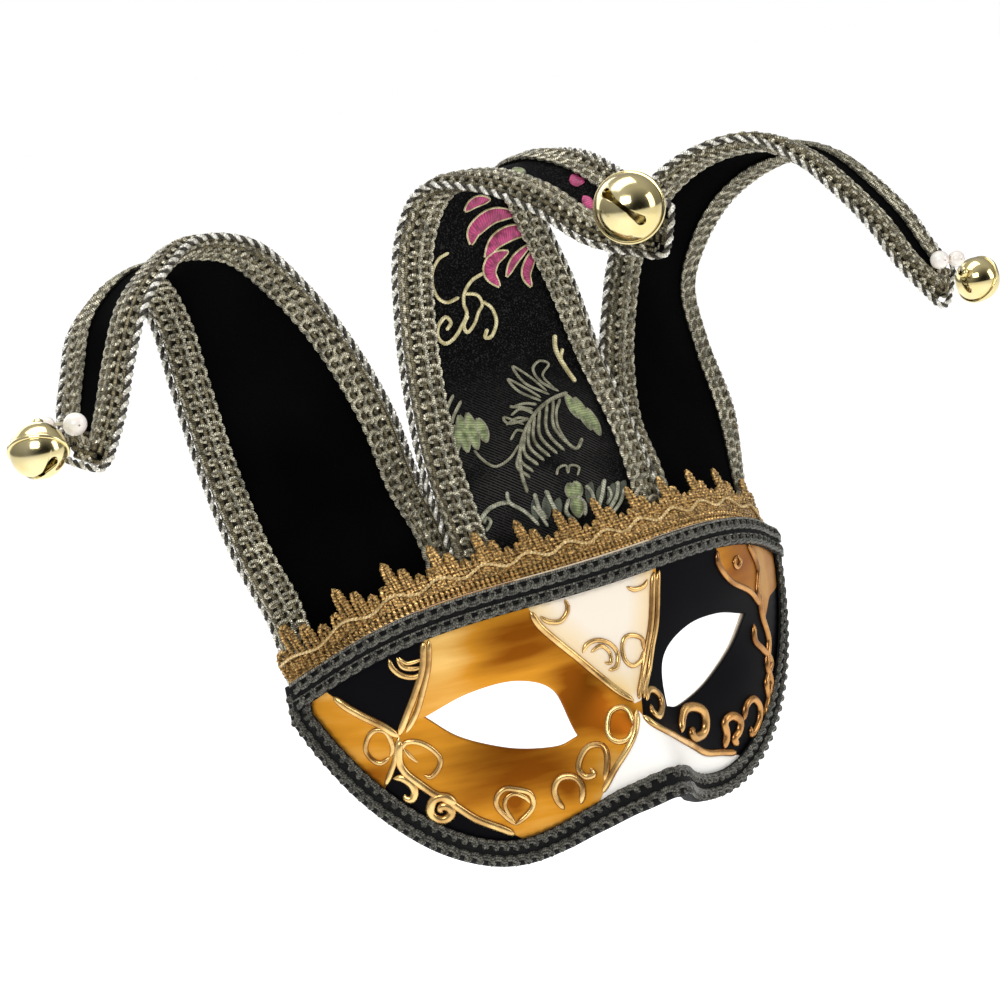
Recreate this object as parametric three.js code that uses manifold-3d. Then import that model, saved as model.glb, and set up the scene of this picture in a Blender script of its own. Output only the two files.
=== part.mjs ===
// Jester half mask of the carnival kind, in the attitude in which it is worn: a moulded shell with raised
// relief, looped braids, scalloped gold lace, and three stiffened cloth horns that fold over, with bells.
// Millimetres, +Z up. The face looks along -Y, and +X is its right side as it is seen from the front.
// The origin lies between the eyes, where the bridge of the wearer's nose meets the shell.
import * as THREE from 'three';
import { mergeVertices } from 'three/addons/utils/BufferGeometryUtils.js';
import Module from 'manifold-3d';

const wasm = await Module();
wasm.setup();

// Driving dimensions
const GAP = 0.35;
const SLOPE_STEP = 0.05;
const MERGE_DISTANCE = 1e-4;

const SHELL = {
  halfWidth: 86,
  wall: 2,
  ellipseHalfWidth: 94,
  ellipseDepth: 64,
  leastReach: 0.01,
  browLean: 0.0015,
  cheekLean: 0.0008,
  browTop: 36,
  browDrop: 20,
  columns: 32,
  rows: 8,
};

const NOSE = { top: 10, bottom: -36, height: 24.5, halfWidthTop: 9, halfWidthGain: 6 };
const SOCKET = { x: 37, z: -5, halfWidth: 20, halfHeight: 13, depth: 3 };

// Lower edge of the shell, from the middle to the temple
const LOWER_EDGE = [
  { x: 0, z: -31.5 },
  { x: 8, z: -34.5 },
  { x: 16, z: -40.5 },
  { x: 24, z: -45 },
  { x: 35, z: -47 },
  { x: 46, z: -45 },
  { x: 58, z: -38.5 },
  { x: 68, z: -29 },
  { x: 76, z: -18 },
  { x: 82, z: -6 },
  { x: 86, z: 5 },
];

// Almond outline of one eye hole, as corners and the bends between them
const EYE = {
  outer: { x: 57, z: 2 },
  inner: { x: 15.5, z: -13.5 },
  upperBends: [{ x: 44, z: 6.5 }, { x: 30, z: 7 }, { x: 19, z: 1 }],
  lowerBends: [{ x: 22, z: -15.5 }, { x: 35, z: -13 }, { x: 48, z: -6.5 }],
  steps: 12,
  cutFront: -40,
  cutBack: 80,
};

// Raised relief on the shell: each line's places on the surface as [x, z], and rings
const RELIEF = { radius: 1.2, sides: 4, steps: 6, ringSteps: 8, ringRadius: 1, sink: 0.15 };
const RELIEF_LINES = [
  [[2, -8], [10, -0.5], [14, 6], [17, 13], [20.5, 25]],
  [[0, -7], [-5.5, 2], [-10.5, 8.5], [-15.5, 15], [-21, 23]],
  [[2, -10], [8, -17], [14.5, -22], [22, -27.5]],
  [[0, -8.5], [-2.5, -13], [-7, -18.5], [-12.5, -26]],
  [[-64, -2], [-61, 4], [-58, 10], [-54.5, 20]],
  [[-64, -4], [-64, -12], [-58, -21], [-47.5, -31.5]],
  [[-64.5, -2.5], [-67.5, 1.5], [-71.5, 5], [-75, 8.5]],
  [[64.5, 1.5], [60, 8], [51.5, 14], [47, 20.5]],
  [[65, 0], [66.5, -8], [66, -15], [63, -21.5]],
];
const RELIEF_RINGS = [
  { x: -5.5, z: -11.5, radius: 3.8 },
  { x: -14.5, z: -20.5, radius: 3.6 },
  { x: -21.5, z: -29, radius: 3.6 },
  { x: -36.5, z: -29.5, radius: 4.6 },
  { x: -59, z: -10, radius: 4.4 },
  { x: -69.5, z: -4.5, radius: 3.4 },
  { x: 9.5, z: -9.5, radius: 3.6 },
  { x: 24.5, z: -22, radius: 4.4 },
  { x: 41, z: -30.5, radius: 4 },
];

const TOP_BRAID = { height: 8.6, thickness: 1.5, halfSpan: 80.5, rows: 2 };
const LOWER_BRAID = { leg: 7, backLeg: 2.6, thickness: 1.2, gap: 0.5, backGap: 0.5, topEnd: 15.5 };

// Surface on which the feet of the horns and the lace stand, behind the brow edge of the shell
const BROW = { standOff: 7, lean: 0.5, rightLean: 0.05, rightFrom: 58, rightTo: 88 };
const LACE = { thickness: 0.8, standOff: 3.4, foot: -5, band: 5.6, halfSpan: 87 };
const LACE_UNITS = { count: 13, columns: 8 };
const LACE_END = { from: 72, to: 78, foot: 1.2 };

// Fingers of one lace unit: place along the unit, height above the brow edge, half width
const LACE_FINGERS = [
  { at: 0.12, height: 9.2, halfWidth: 0.14 },
  { at: 0.36, height: 14.4, halfWidth: 0.15 },
  { at: 0.62, height: 11.2, halfWidth: 0.15 },
  { at: 0.86, height: 8.2, halfWidth: 0.14 },
];

const HORN = { halfWall: 1, stations: 18, footBelow: 8, footAbove: 15, frameStep: 0.01 };
const BINDING = { leg: 6.2, legShare: 0.24, thickness: 1, gap: 0.6 };
const CORD = { radius: 1.1, sides: 5, tipSteps: 6, gap: 0.55 };
const HEM = HORN.halfWall + BINDING.gap + BINDING.thickness + CORD.gap + 2 * CORD.radius;

// Horns: where the foot spans on the brow edge and how far each end is set back behind the next horn's foot,
// then a row for each section up to the tip.
// left and right are the finished edges as seen from the front, belly the cloth's swell to its front.
const HORNS = {
  left_horn: {
    foot: { left: -90, right: -36, leftBack: 0, rightBack: 6 },
    colour: 0x0c0b0d,
    sections: [
      { left: [-90, 53, 52], right: [-32, 38, 66], belly: 5 },
      { left: [-93, 60, 80], right: [-34.5, 42, 86], belly: 4 },
      { left: [-95, 63, 104], right: [-42, 47, 110], belly: 3 },
      { left: [-97, 64, 124], right: [-52, 49, 128], belly: 2 },
      { left: [-104, 59, 138], right: [-66, 46, 143], belly: 1 },
      { left: [-112, 52, 138], right: [-85, 40, 149], belly: 0 },
      { left: [-122, 46, 136], right: [-101, 28, 145], belly: 0 },
      { left: [-132, 39, 130], right: [-114, 18, 138], belly: 0 },
      { left: [-140, 29, 121], right: [-124, 11, 125], belly: 0 },
      { left: [-146, 21, 113], right: [-133, 3, 112], belly: 0 },
      { left: [-149, 13, 107], right: [-142, -4, 102], belly: 0 },
    ],
  },
  centre_horn: {
    foot: { left: -39.5, right: 39.5, leftBack: 0, rightBack: 0 },
    colour: 0x17161a,
    sections: [
      { left: [-37, 29, 66], right: [38, 29, 64], belly: 7 },
      { left: [-34.5, 36, 88], right: [35, 37, 88], belly: 5 },
      { left: [-31, 40, 113], right: [31, 39, 111], belly: 3 },
      { left: [-27, 39, 135], right: [24, 38, 132], belly: 2 },
      { left: [-21, 31, 149], right: [18, 32, 146], belly: 1 },
      { left: [-13, 14, 148], right: [16, 15, 153], belly: 0 },
      { left: [-6, -5, 141], right: [18, -3, 153], belly: 0 },
      { left: [1, -22, 130], right: [19, -18, 148], belly: 0 },
      { left: [12, -39, 124], right: [19, -36, 140], belly: 0 },
    ],
  },
  right_horn: {
    foot: { left: 36, right: 90, leftBack: 6, rightBack: 0 },
    colour: 0x0c0b0d,
    sections: [
      { left: [32, 38, 64], right: [87, 50, 54], belly: 4 },
      { left: [36, 43, 80], right: [87, 60, 79], belly: 4 },
      { left: [43, 47, 98], right: [87, 62, 96], belly: 3 },
      { left: [51, 50, 114], right: [94, 61, 109], belly: 2 },
      { left: [65, 49, 131], right: [105, 59, 120], belly: 1 },
      { left: [81, 44, 140], right: [117, 53, 127], belly: 0 },
      { left: [96, 34, 141], right: [126, 43, 130], belly: 0 },
      { left: [106, 26, 133], right: [132, 32, 127], belly: 0 },
      { left: [113, 18, 122], right: [138, 24, 118], belly: 0 },
      { left: [121, 13, 109], right: [145, 20, 107], belly: 0 },
      { left: [128, 9, 94], right: [148, 16, 98], belly: 0 },
      { left: [138, 6, 80], right: [149, 13, 94], belly: 0 },
    ],
  },
};

// Bells: which horn's tip carries each, which way and how far its centre lies from the tip, the way its slot
// looks, and the slot's turn about that axis in degrees
const BELL = {
  wall: 0.9,
  rim: 0.6,
  rimHeight: 1.4,
  slotWidth: 1.3,
  slotEnd: 3,
  slotEndSides: 8,
  slotSpread: 0.62,
  sides: 12,
  bands: 6,
};
const BELLS = {
  left_bell: {
    horn: 'left_horn',
    away: [-0.95, -0.17, 0.27],
    standOff: 15,
    facing: [-0.35, -0.55, -0.75],
    slotTurn: 95,
    diameter: 15.4,
  },
  centre_bell: {
    horn: 'centre_horn',
    away: [-0.73, -0.46, 0.51],
    standOff: 17.6,
    facing: [-0.68, -0.7, 0.2],
    slotTurn: -16,
    diameter: 19,
  },
  right_bell: {
    horn: 'right_horn',
    away: [0.97, 0, -0.2],
    standOff: 14.5,
    facing: [0.75, 0.2, -0.45],
    slotTurn: 20,
    diameter: 14,
  },
};
const SHANK = { diameter: 3.2, length: 2.6, sides: 6, sunk: 1 };

const PEARLS = {
  left_pearl_1: { centre: [-147.5, 4, 112.6], diameter: 6.4 },
  left_pearl_2: { centre: [-152.6, 12.6, 112.6], diameter: 5.4 },
  right_pearl_1: { centre: [141.5, 5.8, 94], diameter: 5.8 },
  right_pearl_2: { centre: [147.6, 5.4, 93], diameter: 5.2 },
};
const PEARL_SIDES = { around: 10, down: 6 };

const FINISHES = {
  mask_shell: { color: 0xc98a2c, roughness: 0.3, metalness: 0.6 },
  braid: { color: 0x8d8974, roughness: 0.45, metalness: 0.5 },
  dark_braid: { color: 0x3c3d3a, roughness: 0.55, metalness: 0.3 },
  cord: { color: 0xbdb8a6, roughness: 0.4, metalness: 0.5 },
  gold_lace: { color: 0xc09038, roughness: 0.4, metalness: 0.7 },
  bell: { color: 0xd8bd6a, roughness: 0.15, metalness: 1 },
  pearl: { color: 0xf1e7df, roughness: 0.2, metalness: 0 },
};

// Small helpers
const vec = (place) => new THREE.Vector3(...place);
const mix = (a, b, t) => a + (b - a) * t;
const steps = (count) => Array.from({ length: count + 1 }, (_, i) => i / count);

function smoothStep(t) {
  const c = THREE.MathUtils.clamp(t, 0, 1);
  return c * c * (3 - 2 * c);
}

// Closed solid between two grids of points of the same size: skin faces out on the front grid
function slab(front, back) {
  const rows = front.length;
  const columns = front[0].length;
  const place = [...front.flat(), ...back.flat()];
  const frontId = (i, j) => i * columns + j;
  const backId = (i, j) => rows * columns + i * columns + j;
  const index = [];
  const quad = (a, b, c, d) => index.push(a, b, c, a, c, d);
  for (let i = 0; i + 1 < rows; i += 1) {
    for (let j = 0; j + 1 < columns; j += 1) {
      quad(frontId(i, j), frontId(i, j + 1), frontId(i + 1, j + 1), frontId(i + 1, j));
      quad(backId(i, j), backId(i + 1, j), backId(i + 1, j + 1), backId(i, j + 1));
    }
    const end = columns - 1;
    quad(frontId(i, 0), frontId(i + 1, 0), backId(i + 1, 0), backId(i, 0));
    quad(frontId(i + 1, end), frontId(i, end), backId(i, end), backId(i + 1, end));
  }
  for (let j = 0; j + 1 < columns; j += 1) {
    quad(frontId(0, j + 1), frontId(0, j), backId(0, j), backId(0, j + 1));
    quad(frontId(rows - 1, j), frontId(rows - 1, j + 1), backId(rows - 1, j + 1), backId(rows - 1, j));
  }
  return facingOut(indexed(place, index));
}

// Closed tube through rings of points, capped by a fan at each end, or joined end to end
function tube(rings, looped) {
  const sides = rings[0].length;
  const place = rings.flat();
  const id = (i, j) => (i % rings.length) * sides + (j % sides);
  const index = [];
  const spans = looped ? rings.length : rings.length - 1;
  for (let i = 0; i < spans; i += 1) {
    for (let j = 0; j < sides; j += 1) {
      index.push(id(i, j), id(i, j + 1), id(i + 1, j + 1));
      index.push(id(i, j), id(i + 1, j + 1), id(i + 1, j));
    }
  }
  for (let j = 1; j + 1 < sides && !looped; j += 1) {
    index.push(id(0, 0), id(0, j + 1), id(0, j));
    index.push(id(rings.length - 1, 0), id(rings.length - 1, j), id(rings.length - 1, j + 1));
  }
  return facingOut(indexed(place, index));
}

function indexed(place, index) {
  const geometry = new THREE.BufferGeometry();
  const flat = place.flatMap((p) => [p.x, p.y, p.z]);
  geometry.setAttribute('position', new THREE.Float32BufferAttribute(flat, 3));
  geometry.setIndex(index);
  return geometry;
}

// Turns every triangle over where the closed surface encloses a negative volume
function facingOut(geometry) {
  const at = geometry.getAttribute('position');
  const index = geometry.getIndex().array;
  const [a, b, c] = [new THREE.Vector3(), new THREE.Vector3(), new THREE.Vector3()];
  let volume = 0;
  for (let i = 0; i < index.length; i += 3) {
    a.fromBufferAttribute(at, index[i]);
    b.fromBufferAttribute(at, index[i + 1]);
    c.fromBufferAttribute(at, index[i + 2]);
    volume += a.dot(b.cross(c));
  }
  const turned = Array.from(index);
  for (let i = 0; i < turned.length && volume < 0; i += 3) {
    [turned[i + 1], turned[i + 2]] = [turned[i + 2], turned[i + 1]];
  }
  geometry.setIndex(turned);
  return geometry;
}

function toSolid(geometry) {
  const bare = geometry.clone();
  bare.deleteAttribute('normal');
  bare.deleteAttribute('uv');
  const merged = mergeVertices(bare, MERGE_DISTANCE);
  const vertProperties = new Float32Array(merged.getAttribute('position').array);
  const triVerts = new Uint32Array(merged.getIndex().array);
  return new wasm.Manifold(new wasm.Mesh({ numProp: 3, vertProperties, triVerts }));
}

function fromSolid(solid) {
  const { vertProperties, triVerts } = solid.getMesh();
  const geometry = new THREE.BufferGeometry();
  geometry.setAttribute('position', new THREE.Float32BufferAttribute(vertProperties, 3));
  geometry.setIndex(Array.from(triVerts));
  return geometry;
}

// Face surface: depth of the front at (x, z), its outward normal, and a place lifted off it
function faceDepth(x, z) {
  const reach = 1 - (x / SHELL.ellipseHalfWidth) ** 2;
  const wrap = SHELL.ellipseDepth * (1 - Math.sqrt(Math.max(reach, SHELL.leastReach)));
  const lean = (z > 0 ? SHELL.browLean : SHELL.cheekLean) * z * z;
  const across = (Math.abs(x) - SOCKET.x) / SOCKET.halfWidth;
  const up = (z - SOCKET.z) / SOCKET.halfHeight;
  const socket = SOCKET.depth * Math.exp(-across * across - up * up);
  const down = smoothStep((NOSE.top - z) / (NOSE.top - NOSE.bottom));
  const halfWidth = NOSE.halfWidthTop + NOSE.halfWidthGain * down;
  const nose = NOSE.height * down * Math.exp(-((x / halfWidth) ** 2));
  return wrap + lean + socket - nose;
}

function faceNormal(x, z) {
  const d = SLOPE_STEP;
  const slopeX = (faceDepth(x + d, z) - faceDepth(x - d, z)) / (2 * d);
  const slopeZ = (faceDepth(x, z + d) - faceDepth(x, z - d)) / (2 * d);
  return new THREE.Vector3(slopeX, -1, slopeZ).normalize();
}

function facePoint(x, z, lift) {
  return new THREE.Vector3(x, faceDepth(x, z), z).addScaledVector(faceNormal(x, z), lift);
}

const browEdge = (x) => SHELL.browTop - SHELL.browDrop * (x / SHELL.halfWidth) ** 4;

// Height of the lower edge: a cubic through the neighbouring rows of its table, the same on both sides
function lowerEdge(x) {
  const at = Math.abs(x);
  const last = LOWER_EDGE.length - 1;
  const k = THREE.MathUtils.clamp(LOWER_EDGE.findIndex((row) => row.x >= at) - 1, 0, last - 1);
  const slope = (i) => {
    const before = LOWER_EDGE[Math.max(i - 1, 0)];
    const after = LOWER_EDGE[Math.min(i + 1, last)];
    return i === 0 ? 0 : (after.z - before.z) / (after.x - before.x);
  };
  const span = LOWER_EDGE[k + 1].x - LOWER_EDGE[k].x;
  const t = (at - LOWER_EDGE[k].x) / span;
  const ease = t * t * (3 - 2 * t);
  const tangents = slope(k) * span * t * (1 - t) ** 2 - slope(k + 1) * span * t * t * (1 - t);
  return mix(LOWER_EDGE[k].z, LOWER_EDGE[k + 1].z, ease) + tangents;
}

const shellColumns = steps(SHELL.columns).map((t) => SHELL.halfWidth * (2 * t - 1));

function shellSolid() {
  const skin = (lift) => shellColumns.map((x) =>
    steps(SHELL.rows).map((t) => facePoint(x, mix(lowerEdge(x), browEdge(x), t), lift)));
  let solid = toSolid(slab(skin(0), skin(-SHELL.wall)));
  RELIEF_LINES.forEach((line) => {
    solid = solid.add(toSolid(reliefLine(line)));
  });
  RELIEF_RINGS.forEach((ring) => {
    solid = solid.add(toSolid(reliefRing(ring)));
  });
  [-1, 1].forEach((side) => {
    solid = solid.subtract(toSolid(eyeCutter(side)));
  });
  return fromSolid(solid);
}

// Prism along Y through one eye
function eyeCutter(side) {
  const through = [EYE.outer, ...EYE.upperBends, EYE.inner, ...EYE.lowerBends];
  const points = through.map((p) => new THREE.Vector2(p.x, p.z));
  const corners = [points.slice(0, 5), [...points.slice(4), points[0]]];
  const outline = corners.flatMap((part) => new THREE.SplineCurve(part).getPoints(EYE.steps).slice(0, -1));
  const shape = new THREE.Shape(outline.map((p) => new THREE.Vector2(side * p.x, p.y)));
  const depth = EYE.cutBack - EYE.cutFront;
  const geometry = new THREE.ExtrudeGeometry(shape, { depth, bevelEnabled: false });
  geometry.rotateX(Math.PI / 2);
  geometry.translate(0, EYE.cutBack, 0);
  return geometry;
}

// Ring of points round a place on the surface, square to the run of a relief line
function reliefSection(x, z, run, radius) {
  const normal = faceNormal(x, z);
  const side = new THREE.Vector3().crossVectors(run, normal).normalize();
  const centre = facePoint(x, z, -RELIEF.sink);
  return steps(RELIEF.sides).slice(0, -1).map((t) => centre.clone()
    .addScaledVector(side, radius * Math.cos(2 * Math.PI * t))
    .addScaledVector(normal, radius * Math.sin(2 * Math.PI * t)));
}

function reliefLine(through) {
  const curve = new THREE.SplineCurve(through.map(([x, z]) => new THREE.Vector2(x, z)));
  const rings = steps(RELIEF.steps).map((t) => {
    const p = curve.getPoint(t);
    const d = curve.getTangent(t);
    const ahead = facePoint(p.x + SLOPE_STEP * d.x, p.y + SLOPE_STEP * d.y, 0);
    return reliefSection(p.x, p.y, ahead.sub(facePoint(p.x, p.y, 0)), RELIEF.radius);
  });
  return tube(rings, false);
}

function reliefRing(ring) {
  const place = (turn) => [ring.x + ring.radius * Math.cos(turn), ring.z + ring.radius * Math.sin(turn)];
  const rings = steps(RELIEF.ringSteps).slice(0, -1).map((t) => {
    const [x, z] = place(2 * Math.PI * t);
    const [aheadX, aheadZ] = place(2 * Math.PI * t + SLOPE_STEP / ring.radius);
    const run = facePoint(aheadX, aheadZ, 0).sub(facePoint(x, z, 0));
    return reliefSection(x, z, run, RELIEF.ringRadius);
  });
  return tube(rings, true);
}

function topBraid() {
  const columns = shellColumns.filter((x) => Math.abs(x) < TOP_BRAID.halfSpan);
  const stations = [-TOP_BRAID.halfSpan, ...columns, TOP_BRAID.halfSpan];
  const skin = (lift) => stations.map((x) => steps(TOP_BRAID.rows).map((t) =>
    facePoint(x, browEdge(x) - TOP_BRAID.height * (1 - t), lift)));
  return slab(skin(GAP + TOP_BRAID.thickness), skin(GAP));
}

// Braid folded round the side and lower edge of the shell: front leg, turn, back leg
function lowerBraid() {
  const sideEdge = [LOWER_BRAID.topEnd, mix(LOWER_BRAID.topEnd, lowerEdge(SHELL.halfWidth), 0.5)];
  const left = sideEdge.map((z) => [-SHELL.halfWidth, z]);
  const right = sideEdge.map((z) => [SHELL.halfWidth, z]).reverse();
  const edge = [...left, ...shellColumns.map((x) => [x, lowerEdge(x)]), ...right];
  const skin = (lift) => edge.map(([x, z], i) => {
    const before = edge[Math.max(i - 1, 0)];
    const after = edge[Math.min(i + 1, edge.length - 1)];
    const run = facePoint(...after, 0).sub(facePoint(...before, 0));
    const inward = faceNormal(x, z).cross(run).normalize();
    const place = (into, rise) => facePoint(x + inward.x * into, z + inward.z * into, rise);
    const behind = -SHELL.wall - LOWER_BRAID.backGap - lift;
    return [
      place(LOWER_BRAID.leg, lift),
      place(-lift, lift),
      place(-lift, behind),
      place(LOWER_BRAID.backLeg, behind),
    ];
  });
  return slab(skin(LOWER_BRAID.gap + LOWER_BRAID.thickness), skin(LOWER_BRAID.gap));
}

// Brow surface: behind the shell's edge by the stand-off and leaning back above it, less so at the right temple
function browPoint(x, z, standOff) {
  const lean = mix(BROW.lean, BROW.rightLean, smoothStep((x - BROW.rightFrom) / (BROW.rightTo - BROW.rightFrom)));
  const rise = Math.max(z - browEdge(x), 0);
  const foot = facePoint(x, browEdge(x), 0);
  const inward = faceNormal(x, browEdge(x)).setZ(0).normalize();
  return new THREE.Vector3(x, foot.y + lean * rise, z).addScaledVector(inward, -standOff);
}

function goldLace() {
  const columns = steps(LACE_UNITS.count * LACE_UNITS.columns);
  const height = (t) => {
    const along = (t * LACE_UNITS.count) % 1;
    const fingers = LACE_FINGERS.map((finger) => {
      const off = (along - finger.at) / finger.halfWidth;
      return finger.height * Math.sqrt(Math.max(1 - off * off, 0));
    });
    return Math.max(LACE.band, ...fingers);
  };
  const skin = (standOff) => columns.map((t) => {
    const x = LACE.halfSpan * (2 * t - 1);
    const towardsEnd = smoothStep((Math.abs(x) - LACE_END.from) / (LACE_END.to - LACE_END.from));
    const heights = [mix(LACE.foot, LACE_END.foot, towardsEnd), height(t)];
    return heights.map((rise) => browPoint(x, browEdge(x) + rise, standOff));
  });
  return slab(skin(LACE.standOff - LACE.thickness), skin(LACE.standOff));
}

// One horn as a surface: middle of the cloth at u along its length and s across it, from left to right
function hornSurface(horn) {
  const centres = horn.sections.map((row) => vec(row.left).lerp(vec(row.right), 0.5));
  const footRow = (rise) => (s) => {
    const x = mix(horn.foot.left, horn.foot.right, s);
    return browPoint(x, browEdge(x) + rise, BROW.standOff + mix(horn.foot.leftBack, horn.foot.rightBack, s));
  };
  const sectionRow = (row, i) => {
    const before = centres[Math.max(i - 1, 0)];
    const after = centres[Math.min(i + 1, centres.length - 1)];
    const across = vec(row.right).sub(vec(row.left));
    const front = across.clone().cross(after.clone().sub(before)).normalize();
    const swell = (s) => row.belly * 4 * s * (1 - s);
    return (s) => vec(row.left).addScaledVector(across, s).addScaledVector(front, swell(s));
  };
  const rows = [footRow(-HORN.footBelow), footRow(HORN.footAbove), ...horn.sections.map(sectionRow)];
  const lengthwise = (s) => new THREE.CatmullRomCurve3(rows.map((row) => row(s)), false, 'centripetal');
  const point = (u, s) => lengthwise(s).getPoint(u);
  const frame = (u, s) => {
    const d = HORN.frameStep;
    const run = point(Math.min(u + d, 1), s).sub(point(Math.max(u - d, 0), s)).normalize();
    const across = point(u, Math.min(s + d, 1)).sub(point(u, Math.max(s - d, 0))).normalize();
    const front = across.clone().cross(run).normalize();
    return { at: point(u, s), across, front, run };
  };
  // Shares of the width taken by the hem outside the cloth and by one leg of the braid on it
  const shares = (u) => {
    const width = point(u, 0).distanceTo(point(u, 1));
    const leg = Math.min(BINDING.leg, BINDING.legShare * (width - 2 * HEM));
    return { hem: HEM / width, leg: leg / width };
  };
  return { frame, point, shares };
}

const hornStations = steps(HORN.stations);

function hornCloth(surface) {
  const skin = (rise) => hornStations.map((u) => {
    const { hem, leg } = surface.shares(u);
    const [from, to] = [hem + leg, 1 - hem - leg];
    const places = [hem, from, mix(from, to, 1 / 3), mix(from, to, 2 / 3), to, 1 - hem];
    return places.map((s) => {
      const { at, front } = surface.frame(u, s);
      return at.addScaledVector(front, rise);
    });
  });
  return slab(skin(HORN.halfWall), skin(-HORN.halfWall));
}

// Braid folded round one edge of a horn: side is -1 on its left edge and 1 on its right
function hornBraid(surface, side) {
  const skin = (rise) => hornStations.map((u) => {
    const { hem, leg } = surface.shares(u);
    const edge = side < 0 ? hem : 1 - hem;
    const end = surface.frame(u, edge - side * leg);
    const turn = surface.frame(u, edge);
    return [
      end.at.clone().addScaledVector(end.front, rise),
      turn.at.clone().addScaledVector(turn.front, rise),
      turn.at.clone().addScaledVector(turn.across, side * rise),
      turn.at.clone().addScaledVector(turn.front, -rise),
      end.at.clone().addScaledVector(end.front, -rise),
    ];
  });
  const under = HORN.halfWall + BINDING.gap;
  return slab(skin(under + BINDING.thickness), skin(under));
}

// Twisted cord up the left edge of a horn, round its tip and down the right edge
function hornCord(surface) {
  const past = HEM - CORD.radius;
  const edgePlace = (u, side) => {
    const { hem } = surface.shares(u);
    const turn = surface.frame(u, side < 0 ? hem : 1 - hem);
    return turn.at.addScaledVector(turn.across, side * past);
  };
  const tip = surface.frame(1, 0.5);
  const rising = hornStations.map((u) => edgePlace(u, -1));
  const falling = hornStations.map((u) => edgePlace(u, 1)).reverse();
  const tipHalf = rising.at(-1).distanceTo(falling[0]) / 2;
  const blunt = (value) => Math.sign(value) * Math.sqrt(Math.abs(value));
  const roundTip = steps(CORD.tipSteps).slice(1, -1).map((t) => tip.at.clone()
    .addScaledVector(tip.across, -tipHalf * blunt(Math.cos(Math.PI * t)))
    .addScaledVector(tip.run, past * blunt(Math.sin(Math.PI * t))));
  const route = [...rising, ...roundTip, ...falling];
  const rings = route.map((at, i) => {
    const before = route[Math.max(i - 1, 0)];
    const after = route[Math.min(i + 1, route.length - 1)];
    const run = after.clone().sub(before).normalize();
    const station = Math.min(i, route.length - 1 - i, HORN.stations);
    const { front } = surface.frame(hornStations[station], 0.5);
    const side = run.clone().cross(front).normalize();
    const up = side.clone().cross(run);
    return steps(CORD.sides).slice(0, -1).map((t) => at.clone()
      .addScaledVector(side, CORD.radius * Math.cos(2 * Math.PI * t))
      .addScaledVector(up, CORD.radius * Math.sin(2 * Math.PI * t)));
  });
  return tube(rings, false);
}

// Hollow bell with a rim, a slot with round ends and a shank: its slot looks along +Y before it is turned
function bellGeometry(diameter) {
  const radius = diameter / 2;
  const ball = (r) => new THREE.SphereGeometry(r, BELL.sides, BELL.bands);
  const rod = (r, length, sides) => new THREE.CylinderGeometry(r, r, length, sides);
  const rim = rod(radius + BELL.rim, BELL.rimHeight, BELL.sides);
  const shank = rod(SHANK.diameter / 2, SHANK.length, SHANK.sides);
  shank.translate(0, -(radius + SHANK.length / 2 - SHANK.sunk), 0);
  const reach = radius * BELL.slotSpread;
  const slot = new THREE.BoxGeometry(2 * reach, radius, BELL.slotWidth);
  slot.translate(0, radius, 0);
  let solid = toSolid(ball(radius)).add(toSolid(rim)).add(toSolid(shank));
  solid = solid.subtract(toSolid(ball(radius - BELL.wall))).subtract(toSolid(slot));
  [-1, 1].forEach((side) => {
    const end = rod(BELL.slotEnd / 2, radius, BELL.slotEndSides);
    end.translate(side * reach, radius, 0);
    solid = solid.subtract(toSolid(end));
  });
  return fromSolid(solid);
}

// Assembly
const mask = new THREE.Group();

function addPart(name, geometry, finish) {
  const mesh = new THREE.Mesh(geometry, new THREE.MeshStandardMaterial(finish));
  mesh.name = name;
  mask.add(mesh);
  return mesh;
}

addPart('mask_shell', shellSolid(), FINISHES.mask_shell);
addPart('top_braid', topBraid(), FINISHES.dark_braid);
addPart('lower_braid', lowerBraid(), FINISHES.dark_braid);
addPart('gold_lace', goldLace(), FINISHES.gold_lace);

const surfaces = {};
Object.entries(HORNS).forEach(([name, horn]) => {
  const surface = hornSurface(horn);
  surfaces[name] = surface;
  addPart(name, hornCloth(surface), { color: horn.colour, roughness: 0.95, metalness: 0 });
  addPart(`${name}_left_braid`, hornBraid(surface, -1), FINISHES.braid);
  addPart(`${name}_right_braid`, hornBraid(surface, 1), FINISHES.braid);
  addPart(`${name}_cord`, hornCord(surface), FINISHES.cord);
});

Object.entries(BELLS).forEach(([name, bell]) => {
  const tip = surfaces[bell.horn].point(1, 0.5);
  const away = vec(bell.away).normalize();
  const facing = vec(bell.facing).normalize();
  const geometry = bellGeometry(bell.diameter);
  geometry.rotateY(THREE.MathUtils.degToRad(bell.slotTurn));
  const mesh = addPart(name, geometry, FINISHES.bell);
  mesh.position.copy(tip).addScaledVector(away, bell.standOff);
  mesh.quaternion.setFromUnitVectors(new THREE.Vector3(0, 1, 0), facing);
});

Object.entries(PEARLS).forEach(([name, pearl]) => {
  const ball = new THREE.SphereGeometry(pearl.diameter / 2, PEARL_SIDES.around, PEARL_SIDES.down);
  addPart(name, ball, FINISHES.pearl).position.set(...pearl.centre);
});

export default mask;
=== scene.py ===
"""Looks of a jester half mask: a painted shell with raised gold scrolls, looped braids, scalloped gold lace,
velvet and brocade horns with braided and corded edges, bells and pearls.

Sizes are millimetres in the part's own frame. put() turns them into metres.
"""
import math

import bpy
import numpy as np
from mathutils import Matrix, Vector


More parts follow.
